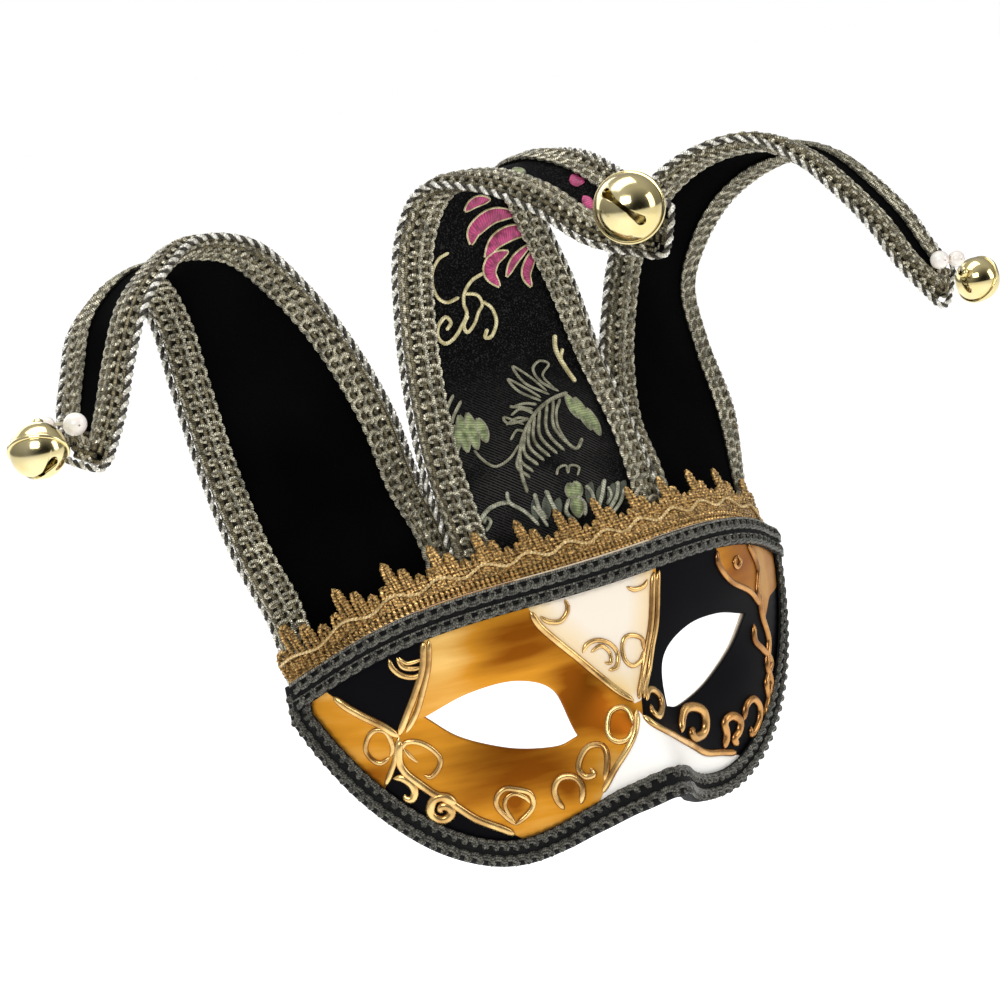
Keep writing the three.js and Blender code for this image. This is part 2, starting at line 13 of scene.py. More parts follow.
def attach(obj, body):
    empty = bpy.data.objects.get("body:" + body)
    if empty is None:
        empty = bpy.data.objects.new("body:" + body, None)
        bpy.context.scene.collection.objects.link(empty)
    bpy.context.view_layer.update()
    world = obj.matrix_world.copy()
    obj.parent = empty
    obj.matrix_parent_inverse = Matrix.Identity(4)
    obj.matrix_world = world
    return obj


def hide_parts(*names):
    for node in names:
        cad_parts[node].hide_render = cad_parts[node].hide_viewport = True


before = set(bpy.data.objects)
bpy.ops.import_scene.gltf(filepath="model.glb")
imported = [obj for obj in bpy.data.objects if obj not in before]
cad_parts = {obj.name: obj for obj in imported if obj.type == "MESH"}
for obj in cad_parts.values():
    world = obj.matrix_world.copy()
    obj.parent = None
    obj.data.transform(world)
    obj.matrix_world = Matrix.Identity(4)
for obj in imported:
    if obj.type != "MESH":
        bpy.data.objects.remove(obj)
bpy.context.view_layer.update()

MM = 0.001
BODY = "root"
TURN = 2 * np.pi
SHARP_EDGE = math.radians(48)
LEAST_END = 0.02

# Camera, at the photograph's viewing angle
CAMERA = dict(azimuth=-28.0, elevation=12.3, roll=9.8, distance=900.0, lens=113.58, sensor=36.0, clip=0.01)
CAMERA_TARGET = (-27.6, 0.0, 61.2)

# Shell and face, as in the solids
SHELL = dict(half_width=86, wall=2, ellipse_half_width=94, ellipse_depth=64, least_reach=0.01)
SHELL_LEAN = dict(brow=0.0015, cheek=0.0008)
BROW_EDGE = dict(top=36, drop=20)
NOSE = dict(top=10, bottom=-36, height=24.5, half_width_top=9, half_width_gain=6)
SOCKET = dict(x=37, z=-5, half_width=20, half_height=13, depth=3)
SLOPE_STEP = 0.05
LOWER_EDGE_X = (0, 8, 16, 24, 35, 46, 58, 68, 76, 82, 86)
LOWER_EDGE_Z = (-31.5, -34.5, -40.5, -45, -47, -45, -38.5, -29, -18, -6, 5)
EYE_CENTRE = (36.5, -4)
EYE_UPPER = ((57, 2), (44, 6.5), (30, 7), (19, 1), (15.5, -13.5))
EYE_LOWER = ((15.5, -13.5), (22, -15.5), (35, -13), (48, -6.5), (57, 2))
SHELL_GRID = dict(brow=96, temple=12, lower=120, middle=72, eye=24, rows=40, crowding=1.2)
WELD_GAP = 0.02
BARE_FADE = dict(steepness=2, start=0.4)

# Rounded lip of an eye hole: how far it stands into the hole, and how deep below the front
EYE_LIP = ((0.2, -0.15), (0.45, -0.6), (0.5, -1.0), (0.45, -1.4), (0.2, -1.85))

# Painted panels of the shell, as outlines [x, z] that run on under the braids
BLACK_PANELS = (
    ((-63.5, -1.5), (-60.5, 4), (-57.5, 10), (-54.5, 17), (-52.5, 40), (-92, 34), (-79.5, 14.5), (-75, 8.5),
     (-71.5, 5), (-67.5, 1.5)),
    ((-65.5, -9.5), (-64, -13.5), (-61, -17.5), (-58, -21), (-55, -23.5), (-51.5, -27.5), (-47.5, -31.5),
     (-41, -36), (-35, -41), (-40, -60), (-88, -40), (-74, -22), (-70, -18), (-67, -11.5)),
    ((4, -7), (11, -1), (14.5, 6), (17.5, 12.5), (20.5, 23.5), (24, 40), (49, 40), (47, 20.5), (51.5, 14),
     (60, 8), (65, 1.5), (66.5, -6), (66.5, -12), (66, -17.5), (63.5, -22.5), (56, -36), (50, -50),
     (43.5, -39), (35.5, -35), (28.5, -32.5), (22, -27.5), (14.5, -22), (4.5, -14.5), (1.5, -10.5)),
    ((66.5, -4), (66.5, -12), (66, -17.5), (63.5, -22.5), (56, -36), (64, -40), (92, -10), (92, 2), (72, 2)),
)
CREAM_PANELS = (
    ((1, -7), (-2, -3), (-5.5, 2), (-10.5, 8.5), (-15.5, 14.5), (-20.5, 21), (-22.5, 26), (-26, 40), (22, 40),
     (19.5, 23.5), (16.5, 13), (13.5, 6), (10, -1), (4, -7)),
    ((1, -9), (-2.5, -13), (-7, -18.5), (-10.5, -23), (-13.5, -28), (-16.5, -35), (-22, -56), (50, -56),
     (43.5, -39), (35.5, -35), (28.5, -32.5), (22, -27.5), (14.5, -22), (4.5, -14.5), (1.5, -10.5)),
)

# Painted light and shade of the gold paint, from 0 pale to 1 deep: an even start, then soft spots of painted
# highlight and painted shade with their middle [x, z], half width, half height and how much they deepen
GOLD_START = 0.46
GOLD_LIGHT_AND_SHADE_SPOTS = (
    (-27, 19, 15, 8, 0.6),
    (-50, 20, 9, 9, -0.4),
    (-30, -19, 17, 10, 0.52),
    (-48, -22, 10, 8, 0.2),
    (-10, -24, 5, 9, -0.45),
    (-13, 0, 7, 10, 0.65),
    (-5, -12, 7, 7, 0.55),
    (-71, -14, 7, 5, 0.3),
    (-36.5, -29.5, 3.5, 4, 0.5),
    (-21.5, -29, 3, 3.5, 0.35),
    (57, 17, 8, 9, 0.35),
    (70, 12, 2.5, 12, -0.6),
)
# Gold from pale to deep, picked by the painted light and shade and by brush streaks: the pale end serves as
# painted highlight, the deep end as painted shade
GOLD_PALE = (0.90, 0.56, 0.17)
GOLD_WARM = (0.61, 0.26, 0.022)
GOLD_DEEP = (0.25, 0.07, 0.004)
COPPER = (0.26, 0.09, 0.025)
BLACK_PAINT = (0.002, 0.002, 0.003)
CREAM = (0.86, 0.77, 0.65)
CREAM_EDGE = (0.84, 0.60, 0.24)
# Whiter cream on the nose, partly its own paint and partly painted light on the nose where it faces downwards
NOSE_WHITE = (0.98, 0.96, 0.91)
BARE_INSIDE = (0.70, 0.60, 0.48)
PAINT = dict(blend=0.12, copper=0.6, copper_from=40, copper_to=60, gilt_from=9.0, gilt_to=0.5,
             forehead_from=-9, forehead_to=-4, nose_from=-4, nose_to=-12, warm_to=40)

# Raised lines on the shell: half width of the line, then its places [x, z]
SCROLLS = (
    # left temple
    (0.9, ((-63, 21), (-62.5, 18), (-60.5, 15.5), (-57.5, 14.5), (-55.5, 15.5))),
    (0.8, ((-61, 21), (-60, 18), (-57.5, 17), (-55, 17))),
    (0.7, ((-60.5, 21), (-59, 19), (-56.5, 19), (-54.5, 19.5))),
    (1.1, ((-64, -2), (-61, 4), (-58, 10), (-55, 17), (-53.5, 24.5))),
    (0.9, ((-62, -1.5), (-58.5, 4), (-56, 10), (-53.5, 17), (-52, 24.5))),
    (1.25, ((-64, -2.5), (-67.5, 1.5), (-71.5, 5), (-75, 8.5), (-77.5, 12))),
    (0.9, ((-64, -2.5), (-65, -6), (-66, -9), (-67, -11.5), (-69.5, -16.5))),
    (1.3, ((-67.2, -14.6), (-65.2, -14.8), (-63.2, -17), (-62.6, -19.6), (-63.6, -21.6), (-65, -21.2),
           (-65.2, -19.8))),
    (0.85, ((-64, -6.5), (-62.5, -4.5), (-59.5, -5), (-56.5, -7.5), (-54.5, -11), (-55.5, -14), (-58, -16),
            (-59.5, -15))),
    (0.65, ((-63.5, -6), (-62, -9), (-60.5, -11))),
    (1.25, ((-64, -3.5), (-65, -9.5), (-64, -13.5), (-61, -17.5), (-58, -21), (-55, -23.5), (-51.5, -27.5),
            (-47.5, -31.5), (-41, -36), (-38, -38.5))),
    (1.45, ((-52.5, -26.2), (-54.8, -22.9), (-58, -22.7), (-59.6, -25.8), (-58.8, -28.4), (-56.4, -29.4),
            (-54.4, -28.2), (-54.4, -26.4), (-56, -25.2), (-57, -26.2), (-56.4, -27.2))),
    (0.8, ((-67, -8), (-66, -5), (-67, -0.5), (-69.5, 0.5), (-71.5, -1.5), (-72.5, -5), (-71.5, -8),
           (-69.5, -9.5), (-67, -8))),
    # cheek and nose
    (0.85, ((-37.5, -35.5), (-41.5, -29.5), (-41.5, -26), (-39, -24), (-35.5, -25), (-32, -27),
            (-31.5, -30.5), (-33.5, -33), (-37.5, -35.5))),
    (0.7, ((-37.5, -35), (-39.5, -30), (-39, -27), (-36.5, -26), (-33.5, -28), (-32.5, -30))),
    (0.85, ((-2.5, -12), (-5, -15), (-7.5, -16), (-9, -14.5), (-8.5, -11.5), (-6.5, -8), (-3.5, -7),
            (-2, -8.5), (-2.5, -12))),
    (1.0, ((-15.5, -22.5), (-15, -24.5), (-17, -25), (-18, -22.5), (-16.5, -19), (-14, -16.5), (-11.5, -16.5),
           (-11, -18.5), (-12, -22.5), (-13.5, -26.5))),
    (1.05, ((-23.5, -34), (-25, -30.5), (-25, -27), (-23, -24.5), (-20, -24.5), (-18.5, -26.5),
            (-18.5, -29.5), (-19.5, -33))),
    (1.0, ((0.5, -8.5), (-2.5, -13), (-7, -18.5), (-10.5, -23), (-13.5, -28), (-14.5, -30))),
    (1.15, ((1.5, -10.5), (4.5, -14.5), (14.5, -22), (22, -27.5), (28.5, -32.5), (35.5, -35), (42, -37.5))),
    # forehead
    (1.1, ((1, -6.5), (-2, -3), (-5.5, 2), (-10.5, 8.5), (-15.5, 14.5), (-20.5, 21), (-22.5, 26))),
    (0.8, ((-11.5, 27), (-11, 24.5), (-12, 22.5), (-14.5, 21), (-18, 22), (-20, 24))),
    (0.75, ((-9, 10), (-7.5, 12), (-4, 12.5), (0, 10.5), (2, 7), (0.5, 3.5), (-2.5, 3))),
    (0.65, ((-6.5, 9.5), (-3, 10.5), (-0.5, 8), (-1, 5), (-3, 5.5))),
    (0.75, ((11.5, 5), (9.5, 2.5), (6, 2), (4, 4), (4, 7.5), (5.5, 10.5), (8.5, 10.5), (11.5, 8.5),
            (11.5, 5))),
    (1.0, ((3, -6.5), (9, -1), (13, 6), (16, 13), (19, 23.5), (20.5, 26.5))),
    (0.9, ((5, -7), (11.5, -1.5), (15, 5.5), (18, 12.5), (21, 23.5), (22.5, 26.5))),
    (0.8, ((17.5, 25), (15.5, 23.5), (12, 23.5), (9.5, 25))),
    # right side
    (1.2, ((6, -8), (8, -6.2), (11, -6.8), (13.2, -9.8), (12, -12.5), (8, -13.2), (6, -11), (7, -9.4))),
    (1.6, ((18.4, -22.4), (20.3, -19.4), (23.1, -17.2), (27.1, -17.7), (30.4, -20.2), (30.4, -24.1),
           (28.4, -26.5), (24.5, -26.3), (23.3, -24.3), (25.2, -23.4))),
    (1.5, ((36.7, -34.3), (38.4, -30.3), (38.4, -26.4), (42, -25.6), (45.3, -28.2), (44.2, -31.3),
           (41.5, -32.9), (43.2, -35.5))),
    (1.3, ((47.3, -29), (49.2, -25.1), (53.2, -24.2), (55.9, -27.5), (55, -31.3), (52, -34), (50, -34.5),
           (50.3, -32))),
    (1.3, ((64.3, 5.7), (64.9, 3.7), (65, -2), (66.6, -10), (63.5, -17), (64.2, -23), (59.5, -29.5),
           (57, -33))),
    (1.2, ((60, -2.6), (59.2, -7.5), (62.2, -11.4), (66.2, -17), (61.5, -22), (61.2, -27.5), (57, -31.5))),
    (1.1, ((47.5, 25), (47, 20.5), (51.5, 14), (60, 8), (65, 1.5))),
    (1.1, ((63.5, 22), (66.8, 13), (64.3, 5.7), (65.4, -0.5))),
    (0.75, ((57, 20.5), (58, 18), (55.5, 17), (54.5, 19), (56.5, 20.5))),
)
SCROLL = dict(sides=12, sink=0.1, step=0.6, ends=5, flat=0.85, per_span=12)

# Braids of the shell's edge, their sections as (across, lift)
TOP_BRAID = dict(half_span=85, step=1.2, over_from=77, over_to=82, over=1.3, samples=600)
TOP_BRAID_SECTION = ((0.1, 0.5), (0.5, 1.0), (2.5, 1.15), (4.3, 1.0), (6.3, 1.15), (8.1, 0.95), (8.5, 0.5),
                     (8.1, 0.2), (4.3, 0.2), (0.5, 0.2))
LOWER_BRAID = dict(top_end=15.5, step=1.0, samples=900, temple_samples=60, edge_step=0.4, softened=12)
LOWER_BRAID_SECTION = ((7.0, 0.45), (6.6, 0.95), (4.8, 1.2), (3.4, 1.05), (1.4, 1.3), (-0.5, 1.0),
                       (-1.35, 0.2), (-1.6, -1.0), (-1.35, -2.2), (-0.5, -2.9), (1.0, -3.1), (2.4, -2.95),
                       (2.6, -2.6), (1.0, -2.35), (-0.4, -2.2), (-0.8, -1.0), (-0.4, 0.2), (1.4, 0.4),
                       (4.8, 0.35))

# Rows of thread loops: pitch, reach along and across, thread radius, and the row's middle as (across, lift)
TOP_LOOPS = (
    dict(pitch=3.9, along=1.5, across=1.1, thread=0.56, middle=2.1, lift=1.35),
    dict(pitch=3.9, along=0.6, across=0.4, thread=0.5, middle=2.1, lift=1.45),
    dict(pitch=4.1, along=1.55, across=1.3, thread=0.6, middle=6.5, lift=1.35),
    dict(pitch=4.1, along=0.65, across=0.5, thread=0.55, middle=6.5, lift=1.45),
)
LOWER_LOOPS = (
    dict(pitch=3.5, along=1.35, across=1.15, thread=0.56, middle=5.5, lift=1.35),
    dict(pitch=3.5, along=0.55, across=0.4, thread=0.5, middle=5.5, lift=1.45),
    dict(pitch=3.6, along=1.4, across=1.35, thread=0.6, middle=0.9, lift=1.45),
    dict(pitch=3.6, along=0.55, across=0.5, thread=0.55, middle=0.9, lift=1.55),
    dict(pitch=3.6, along=1.3, across=0.8, thread=0.45, middle=1.2, lift=-3.1),
)
LOOP = dict(samples=12, sides=5, overlap=0.22, margin=1.6)
PIPING = dict(step=1.0, sides=6)
TOP_PIPING = (dict(middle=0.35, lift=1.15, radius=0.42), dict(middle=5.1, lift=1.15, radius=0.28))

# Brow surface behind the shell's edge, and the gold lace that stands on it
BROW = dict(stand_off=7, lean=0.5, right_lean=0.05, right_from=58, right_to=88)
LACE = dict(units=13, half_span=87, foot=-5, band=4.8, end_from=76, end_to=83, end_foot=0.4)
LACE_BACKING = dict(thickness=0.4, stand_off=3.6, columns=200, around=(0, 10, 10.5, 20.5, 21))
LACE_CORD = dict(stand_off=2.9, sides=6, step=0.42, grain=1.35, grain_depth=0.28)
LACE_FINGER = dict(foot=2.0, radius=0.8, half_width=1.05, bluntness=0.42, samples=60)
LACE_STEM = dict(radius=0.6, set_back=0.35, lean=0.85, below=1.5)
LACE_FINGERS = (
    dict(at=0.10, height=8.6, lean=-0.6),
    dict(at=0.34, height=14.2, lean=-1.8),
    dict(at=0.60, height=11.0, lean=-1.3),
    dict(at=0.84, height=8.0, lean=-0.7),
)
LACE_POST = dict(spacing=1.5, radius=0.72, top=4.4, inset=1, raised=0.5)
LACE_GIMP = dict(rise=4.9, wave=1.0, radius=0.5, set_forward=1.05, lag=0.6, samples=900)

# Horns: where the foot spans on the brow edge and how far its ends are set back behind the next horn's foot,
# then left and right finished edges and belly of each section
HORN = dict(half_wall=1.0, foot_below=8, foot_above=15, frame_step=0.01, rows=401, columns=61)
BINDING = dict(leg=6.2, leg_share=0.24, thickness=1.0, gap=0.6)
CORD = dict(radius=1.1, gap=0.55, tip_steps=10)
HEM = HORN["half_wall"] + BINDING["gap"] + BINDING["thickness"] + CORD["gap"] + 2 * CORD["radius"]
HORNS = dict(
    left_horn=dict(
        foot=(-90, -36),
        set_back=(0, 6),
        sections=(
            ((-90, 53, 52), (-32, 38, 66), 5),
            ((-93, 60, 80), (-34.5, 42, 86), 4),
            ((-95, 63, 104), (-42, 47, 110), 3),
            ((-97, 64, 124), (-52, 49, 128), 2),
            ((-104, 59, 138), (-66, 46, 143), 1),
            ((-112, 52, 138), (-85, 40, 149), 0),
            ((-122, 46, 136), (-101, 28, 145), 0),
            ((-132, 39, 130), (-114, 18, 138), 0),
            ((-140, 29, 121), (-124, 11, 125), 0),
            ((-146, 21, 113), (-133, 3, 112), 0),
            ((-149, 13, 107), (-142, -4, 102), 0),
        ),
    ),
    centre_horn=dict(
        foot=(-39.5, 39.5),
        set_back=(0, 0),
        sections=(
            ((-37, 29, 66), (38, 29, 64), 7),
            ((-34.5, 36, 88), (35, 37, 88), 5),
            ((-31, 40, 113), (31, 39, 111), 3),
            ((-27, 39, 135), (24, 38, 132), 2),
            ((-21, 31, 149), (18, 32, 146), 1),
            ((-13, 14, 148), (16, 15, 153), 0),
            ((-6, -5, 141), (18, -3, 153), 0),
            ((1, -22, 130), (19, -18, 148), 0),
            ((12, -39, 124), (19, -36, 140), 0),
        ),
    ),
    right_horn=dict(
        foot=(36, 90),
        set_back=(6, 0),
        sections=(
            ((32, 38, 64), (87, 50, 54), 4),
            ((36, 43, 80), (87, 60, 79), 4),
            ((43, 47, 98), (87, 62, 96), 3),
            ((51, 50, 114), (94, 61, 109), 2),
            ((65, 49, 131), (105, 59, 120), 1),
            ((81, 44, 140), (117, 53, 127), 0),
            ((96, 34, 141), (126, 43, 130), 0),
            ((106, 26, 133), (132, 32, 127), 0),
            ((113, 18, 122), (138, 24, 118), 0),
            ((121, 13, 109), (145, 20, 107), 0),
            ((128, 9, 94), (148, 16, 98), 0),
            ((138, 6, 80), (149, 13, 94), 0),
        ),
    ),
)
CLOTH_GRID = dict(along=150, across=36)
CLOTH_RIPPLE = dict(height=0.22, along=5.0, across=2.0, slant=2)

# Braid of the horns: its ribbon folds over the cloth's edge, loops cover both faces and the fold, and cores
# show between the loops
RIBBON = dict(lift=1.8, wall=0.55, step=1.2, fold_steps=9, leg_steps=4)
FOLD = dict(arc=2.3, past_lift=0.45)
FACE_LOOPS = (
    dict(pitch=3.5, along=1.4, across=1.7, thread=0.68, middle=4.7, lift=2.15),
    dict(pitch=3.5, along=1.4, across=1.7, thread=0.68, middle=1.2, lift=2.15),
)
FOLD_LOOPS = dict(pitch=3.5, along=1.4, across=1.7, thread=0.68, middle=-3.6, lift=2.15)
FACE_CORES = (dict(middle=4.7, lift=1.95, radius=0.8), dict(middle=1.2, lift=1.95, radius=0.8))
FOLD_CORES = (dict(middle=-1.2, lift=1.95, radius=0.7), dict(middle=-3.6, lift=1.95, radius=0.8),
              dict(middle=-6.0, lift=1.95, radius=0.7))
TIP_LEG = 4.0
TIP_LOOPS = dict(pitch=3.2, along=1.3, across=1.7, thread=0.66, middle=1.3, lift=2.2)
TWIST = dict(pitch=4.4, offset=0.48, sides=6, step=0.42)
PLIES = dict(silver=dict(start=0.0, radius=0.7), black=dict(start=0.5, radius=0.54))

# Woven figures of the brocade on the centre horn, their places as (along, across) shares of the horn.
# Leaves have their half width first. Stems have the radius of their cord first.
PETALS = (
    (1.8, ((0.542, 0.435), (0.559, 0.515), (0.559, 0.625))),
    (2.6, ((0.479, 0.458), (0.504, 0.503), (0.523, 0.63), (0.518, 0.8))),
    (2.4, ((0.456, 0.525), (0.478, 0.62), (0.486, 0.74), (0.48, 0.84))),
    (2.2, ((0.413, 0.557), (0.434, 0.527), (0.451, 0.57), (0.459, 0.667))),
    (1.3, ((0.424, 0.61), (0.445, 0.69), (0.463, 0.815))),
    (1.7, ((0.403, 0.725), (0.422, 0.723), (0.44, 0.777), (0.454, 0.845))),
)
GREEN_LEAVES = (
    (1.7, ((0.258, 0.175), (0.226, 0.165))),
    (1.8, ((0.268, 0.21), (0.22, 0.2))),
    (1.8, ((0.268, 0.245), (0.22, 0.24))),
    (1.7, ((0.258, 0.28), (0.226, 0.285))),
    (1.6, ((0.258, 0.7), (0.226, 0.715))),
    (1.7, ((0.252, 0.735), (0.208, 0.748))),
    (1.6, ((0.236, 0.768), (0.198, 0.78))),
    (1.8, ((0.128, 0.565), (0.1, 0.56))),
    (1.8, ((0.128, 0.595), (0.1, 0.59))),
    (2.2, ((0.104, 0.578), (0.076, 0.56))),
)
DULL_LEAVES = (
    (1.5, ((0.089, 0.623), (0.119, 0.667))),
    (1.6, ((0.085, 0.67), (0.108, 0.715))),
    (1.6, ((0.083, 0.718), (0.104, 0.775))),
    (1.5, ((0.082, 0.758), (0.103, 0.828))),
    (1.4, ((0.085, 0.38), (0.12, 0.403))),
    (1.6, ((0.084, 0.425), (0.12, 0.46))),
    (1.5, ((0.083, 0.465), (0.109, 0.505))),
)
GOLD_STEMS = (
    (0.55, ((0.473, 0.323), (0.466, 0.26), (0.45, 0.217), (0.43, 0.208), (0.413, 0.23), (0.406, 0.273),
            (0.41, 0.335))),
    (0.6, ((0.436, 0.495), (0.429, 0.42), (0.415, 0.367), (0.4, 0.35), (0.387, 0.355), (0.374, 0.32),
           (0.361, 0.27), (0.357, 0.223), (0.366, 0.195), (0.379, 0.205), (0.388, 0.247), (0.38, 0.268),
           (0.372, 0.24))),
    (0.55, ((0.413, 0.365), (0.408, 0.427), (0.395, 0.443), (0.385, 0.413), (0.373, 0.383), (0.364, 0.34),
            (0.373, 0.328), (0.385, 0.36))),
    (0.6, ((0.398, 0.448), (0.386, 0.487), (0.368, 0.49), (0.353, 0.45), (0.353, 0.417), (0.363, 0.438))),
    (0.8, ((0.335, 0.765), (0.32, 0.745), (0.305, 0.745), (0.285, 0.76), (0.27, 0.775))),
    (0.6, ((0.315, 0.78), (0.305, 0.755), (0.295, 0.75))),
)
DULL_STEMS = (
    (0.42, ((0.264, 0.675), (0.281, 0.61), (0.299, 0.595), (0.307, 0.64), (0.3, 0.68), (0.288, 0.63),
            (0.268, 0.66))),
    (0.42, ((0.263, 0.625), (0.284, 0.535), (0.309, 0.505), (0.29, 0.57), (0.268, 0.62))),
    (0.42, ((0.258, 0.575), (0.276, 0.495), (0.295, 0.465), (0.278, 0.53), (0.262, 0.58))),
    (0.42, ((0.251, 0.525), (0.261, 0.43), (0.255, 0.49), (0.246, 0.52))),
    (0.42, ((0.24, 0.495), (0.241, 0.4), (0.25, 0.39), (0.235, 0.46))),
    (0.42, ((0.212, 0.41), (0.195, 0.345), (0.19, 0.285), (0.206, 0.245), (0.22, 0.225))),
    (0.42, ((0.255, 0.55), (0.26, 0.5), (0.26, 0.445))),
    (0.42, ((0.245, 0.52), (0.255, 0.47), (0.25, 0.42))),
    (0.42, ((0.24, 0.49), (0.245, 0.44), (0.24, 0.385))),
    (0.42, ((0.225, 0.455), (0.23, 0.42), (0.22, 0.38))),
    (0.55, ((0.255, 0.665), (0.24, 0.62), (0.22, 0.6), (0.195, 0.62), (0.185, 0.65), (0.2, 0.69))),
    (0.55, ((0.295, 0.21), (0.28, 0.17), (0.26, 0.155))),
    (0.55, ((0.285, 0.235), (0.27, 0.19), (0.26, 0.17))),
    (0.4, ((0.148, 0.522), (0.159, 0.54), (0.16, 0.575), (0.145, 0.573))),
    (0.4, ((0.145, 0.573), (0.158, 0.593), (0.151, 0.63), (0.137, 0.613))),
)
FERN_SPINE = ((0.26, 0.713), (0.257, 0.625), (0.247, 0.537), (0.228, 0.458), (0.203, 0.403), (0.167, 0.38),
              (0.131, 0.38))
FERN_TIPS = ((0.188, 0.63), (0.186, 0.59), (0.184, 0.555), (0.182, 0.52), (0.178, 0.49), (0.173, 0.46),
             (0.164, 0.43), (0.155, 0.41))
FERN = dict(spine=0.65, rib=0.6, first=0.16, last=0.66, bulge=0.7)
FRIEZE_STEMS = (
    (0.7, ((0.085, 0.13), (0.105, 0.16), (0.12, 0.205), (0.125, 0.255), (0.123, 0.297))),
    (0.5, ((0.09, 0.17), (0.1, 0.2), (0.108, 0.19), (0.1, 0.17))),
    (0.65, ((0.143, 0.3), (0.123, 0.297), (0.103, 0.343), (0.08, 0.385))),
    (0.6, ((0.108, 0.383), (0.09, 0.405), (0.075, 0.42))),
    (0.8, ((0.128, 0.408), (0.103, 0.405), (0.085, 0.425))),
    (0.8, ((0.128, 0.458), (0.104, 0.465), (0.08, 0.48))),
    (0.7, ((0.103, 0.545), (0.087, 0.515), (0.07, 0.545))),
    (0.7, ((0.103, 0.58), (0.09, 0.605), (0.075, 0.59))),
    (0.8, ((0.116, 0.635), (0.1, 0.65), (0.08, 0.65))),
    (0.8, ((0.117, 0.73), (0.097, 0.7), (0.08, 0.66))),
    (0.6, ((0.103, 0.735), (0.09, 0.735), (0.08, 0.703))),
    (0.8, ((0.106, 0.79), (0.087, 0.76), (0.072, 0.7))),
    (0.7, ((0.093, 0.807), (0.078, 0.77), (0.068, 0.715))),
)
FOLD_PETALS = (
    (1.6, ((0.82, 0.61), (0.845, 0.53))),
    (1.6, ((0.825, 0.53), (0.85, 0.61))),
    (1.5, ((0.862, 0.47), (0.888, 0.4))),
)
FOLD_LEAVES = ((1.0, ((0.78, 0.35), (0.8, 0.29))), (1.1, ((0.72, 0.45), (0.75, 0.4))))
MOTIF = dict(lift=1.3, flat=0.22, outline=0.3, per_span=10, fullness=0.6, least=0.03, sides=8, cord_sides=5,
             blunt=2)

# Bells, with the horn that carries each, the way and distance of its centre from the horn's tip, the way its
# slot looks, and the slot's turn about that axis in degrees
BELL = dict(wall=0.9, rim=0.6, rim_height=1.4, inside_end=0.05)
SLOT = dict(width=1.3, end=3.0, spread=0.62, least_across=0.001, widest=0.98)
BELL_GRID = dict(around=144, front=22, back=14, inside=20)
BELL_RIM = ((-0.8, 0.0), (-0.75, 0.7), (-0.5, 1.0), (0.5, 1.0), (0.75, 0.7), (0.8, 0.0))
BELLS = dict(
    left_bell=dict(horn="left_horn", away=(-0.95, -0.17, 0.27), stand_off=15, facing=(-0.35, -0.55, -0.75),
                   slot_turn=95, diameter=15.4),
    centre_bell=dict(horn="centre_horn", away=(-0.73, -0.46, 0.51), stand_off=17.6, facing=(-0.68, -0.7, 0.2),
                     slot_turn=-16, diameter=19),
    right_bell=dict(horn="right_horn", away=(0.97, 0, -0.2), stand_off=14.5, facing=(0.75, 0.2, -0.45),
                    slot_turn=20, diameter=14),
)
SHANK = dict(radius=1.6, proud=1.6, bore=0.35, taper=0.75, root=1.02, chamfer=0.4)
PEARLS = dict(
    left_pearl_1=((-147.5, 4, 112.6), 6.4),
    left_pearl_2=((-152.6, 12.6, 112.6), 5.4),
    right_pearl_1=((141.5, 5.8, 94), 5.8),
    right_pearl_2=((147.6, 5.4, 93), 5.2),
)
PEARL = dict(hole=0.09, bore=0.8, bore_depth=0.85, around=32, down=22, ripple=0.025)
STITCH = dict(radius=0.28, sunk=0.5, per_span=8, sides=6, shifts=(-0.3, 0.3))

# Threads: colours of the ridges and of the valleys in painted shade, metal share, pitch of the winding,
# roughness, and painted bright and dull specks per metre
THREADS = dict(
    dark_silver_thread=((0.155, 0.15, 0.12), (0.002, 0.002, 0.002), 0.5, 0.7, 0.35, 950.0),
    silver_piping=((0.34, 0.33, 0.28), (0.015, 0.015, 0.013), 0.6, 0.8, 0.35, 950.0),
    gold_lace_thread=((0.86, 0.54, 0.19), (0.02, 0.008, 0.002), 0.6, 0.9, 0.36, 1200.0),
    gold_gimp=((0.92, 0.72, 0.38), (0.40, 0.24, 0.07), 0.5, 1.1, 0.4, 700.0),
    antique_silver_thread=((0.70, 0.65, 0.48), (0.009, 0.008, 0.005), 0.6, 0.6, 0.3, 800.0),
    bronze_thread=((0.24, 0.20, 0.11), (0.006, 0.005, 0.003), 0.6, 0.7, 0.4, 900.0),
    silver_ply=((0.93, 0.91, 0.84), (0.42, 0.40, 0.33), 0.5, 0.5, 0.28, 500.0),
    black_ply=((0.09, 0.08, 0.055), (0.006, 0.005, 0.004), 0.4, 0.5, 0.35, 950.0),
    linen_thread=((0.7, 0.64, 0.5), (0.3, 0.26, 0.18), 0.0, 0.5, 0.7, 950.0),
)

# Ribbons: colours of the ground and of the weft that shows in it
RIBBONS = dict(
    black_ribbon=((0.003, 0.003, 0.0035), (0.012, 0.012, 0.012)),
    olive_ribbon=((0.006, 0.0055, 0.004), (0.035, 0.032, 0.022)),
)

# Silks: light and dark tone, and metal share
SILKS = dict(
    pink_silk=((0.62, 0.06, 0.23), (0.15, 0.006, 0.04), 0.0),
    pale_gold_silk=((0.86, 0.78, 0.48), (0.36, 0.30, 0.13), 0.2),
    green_silk=((0.36, 0.42, 0.19), (0.06, 0.08, 0.028), 0.0),
    dull_silk=((0.38, 0.37, 0.26), (0.10, 0.095, 0.055), 0.2),
    shadow_silk=((0.085, 0.095, 0.06), (0.015, 0.018, 0.01), 0.0),
    sage_silk=((0.56, 0.56, 0.42), (0.12, 0.12, 0.08), 0.2),
)
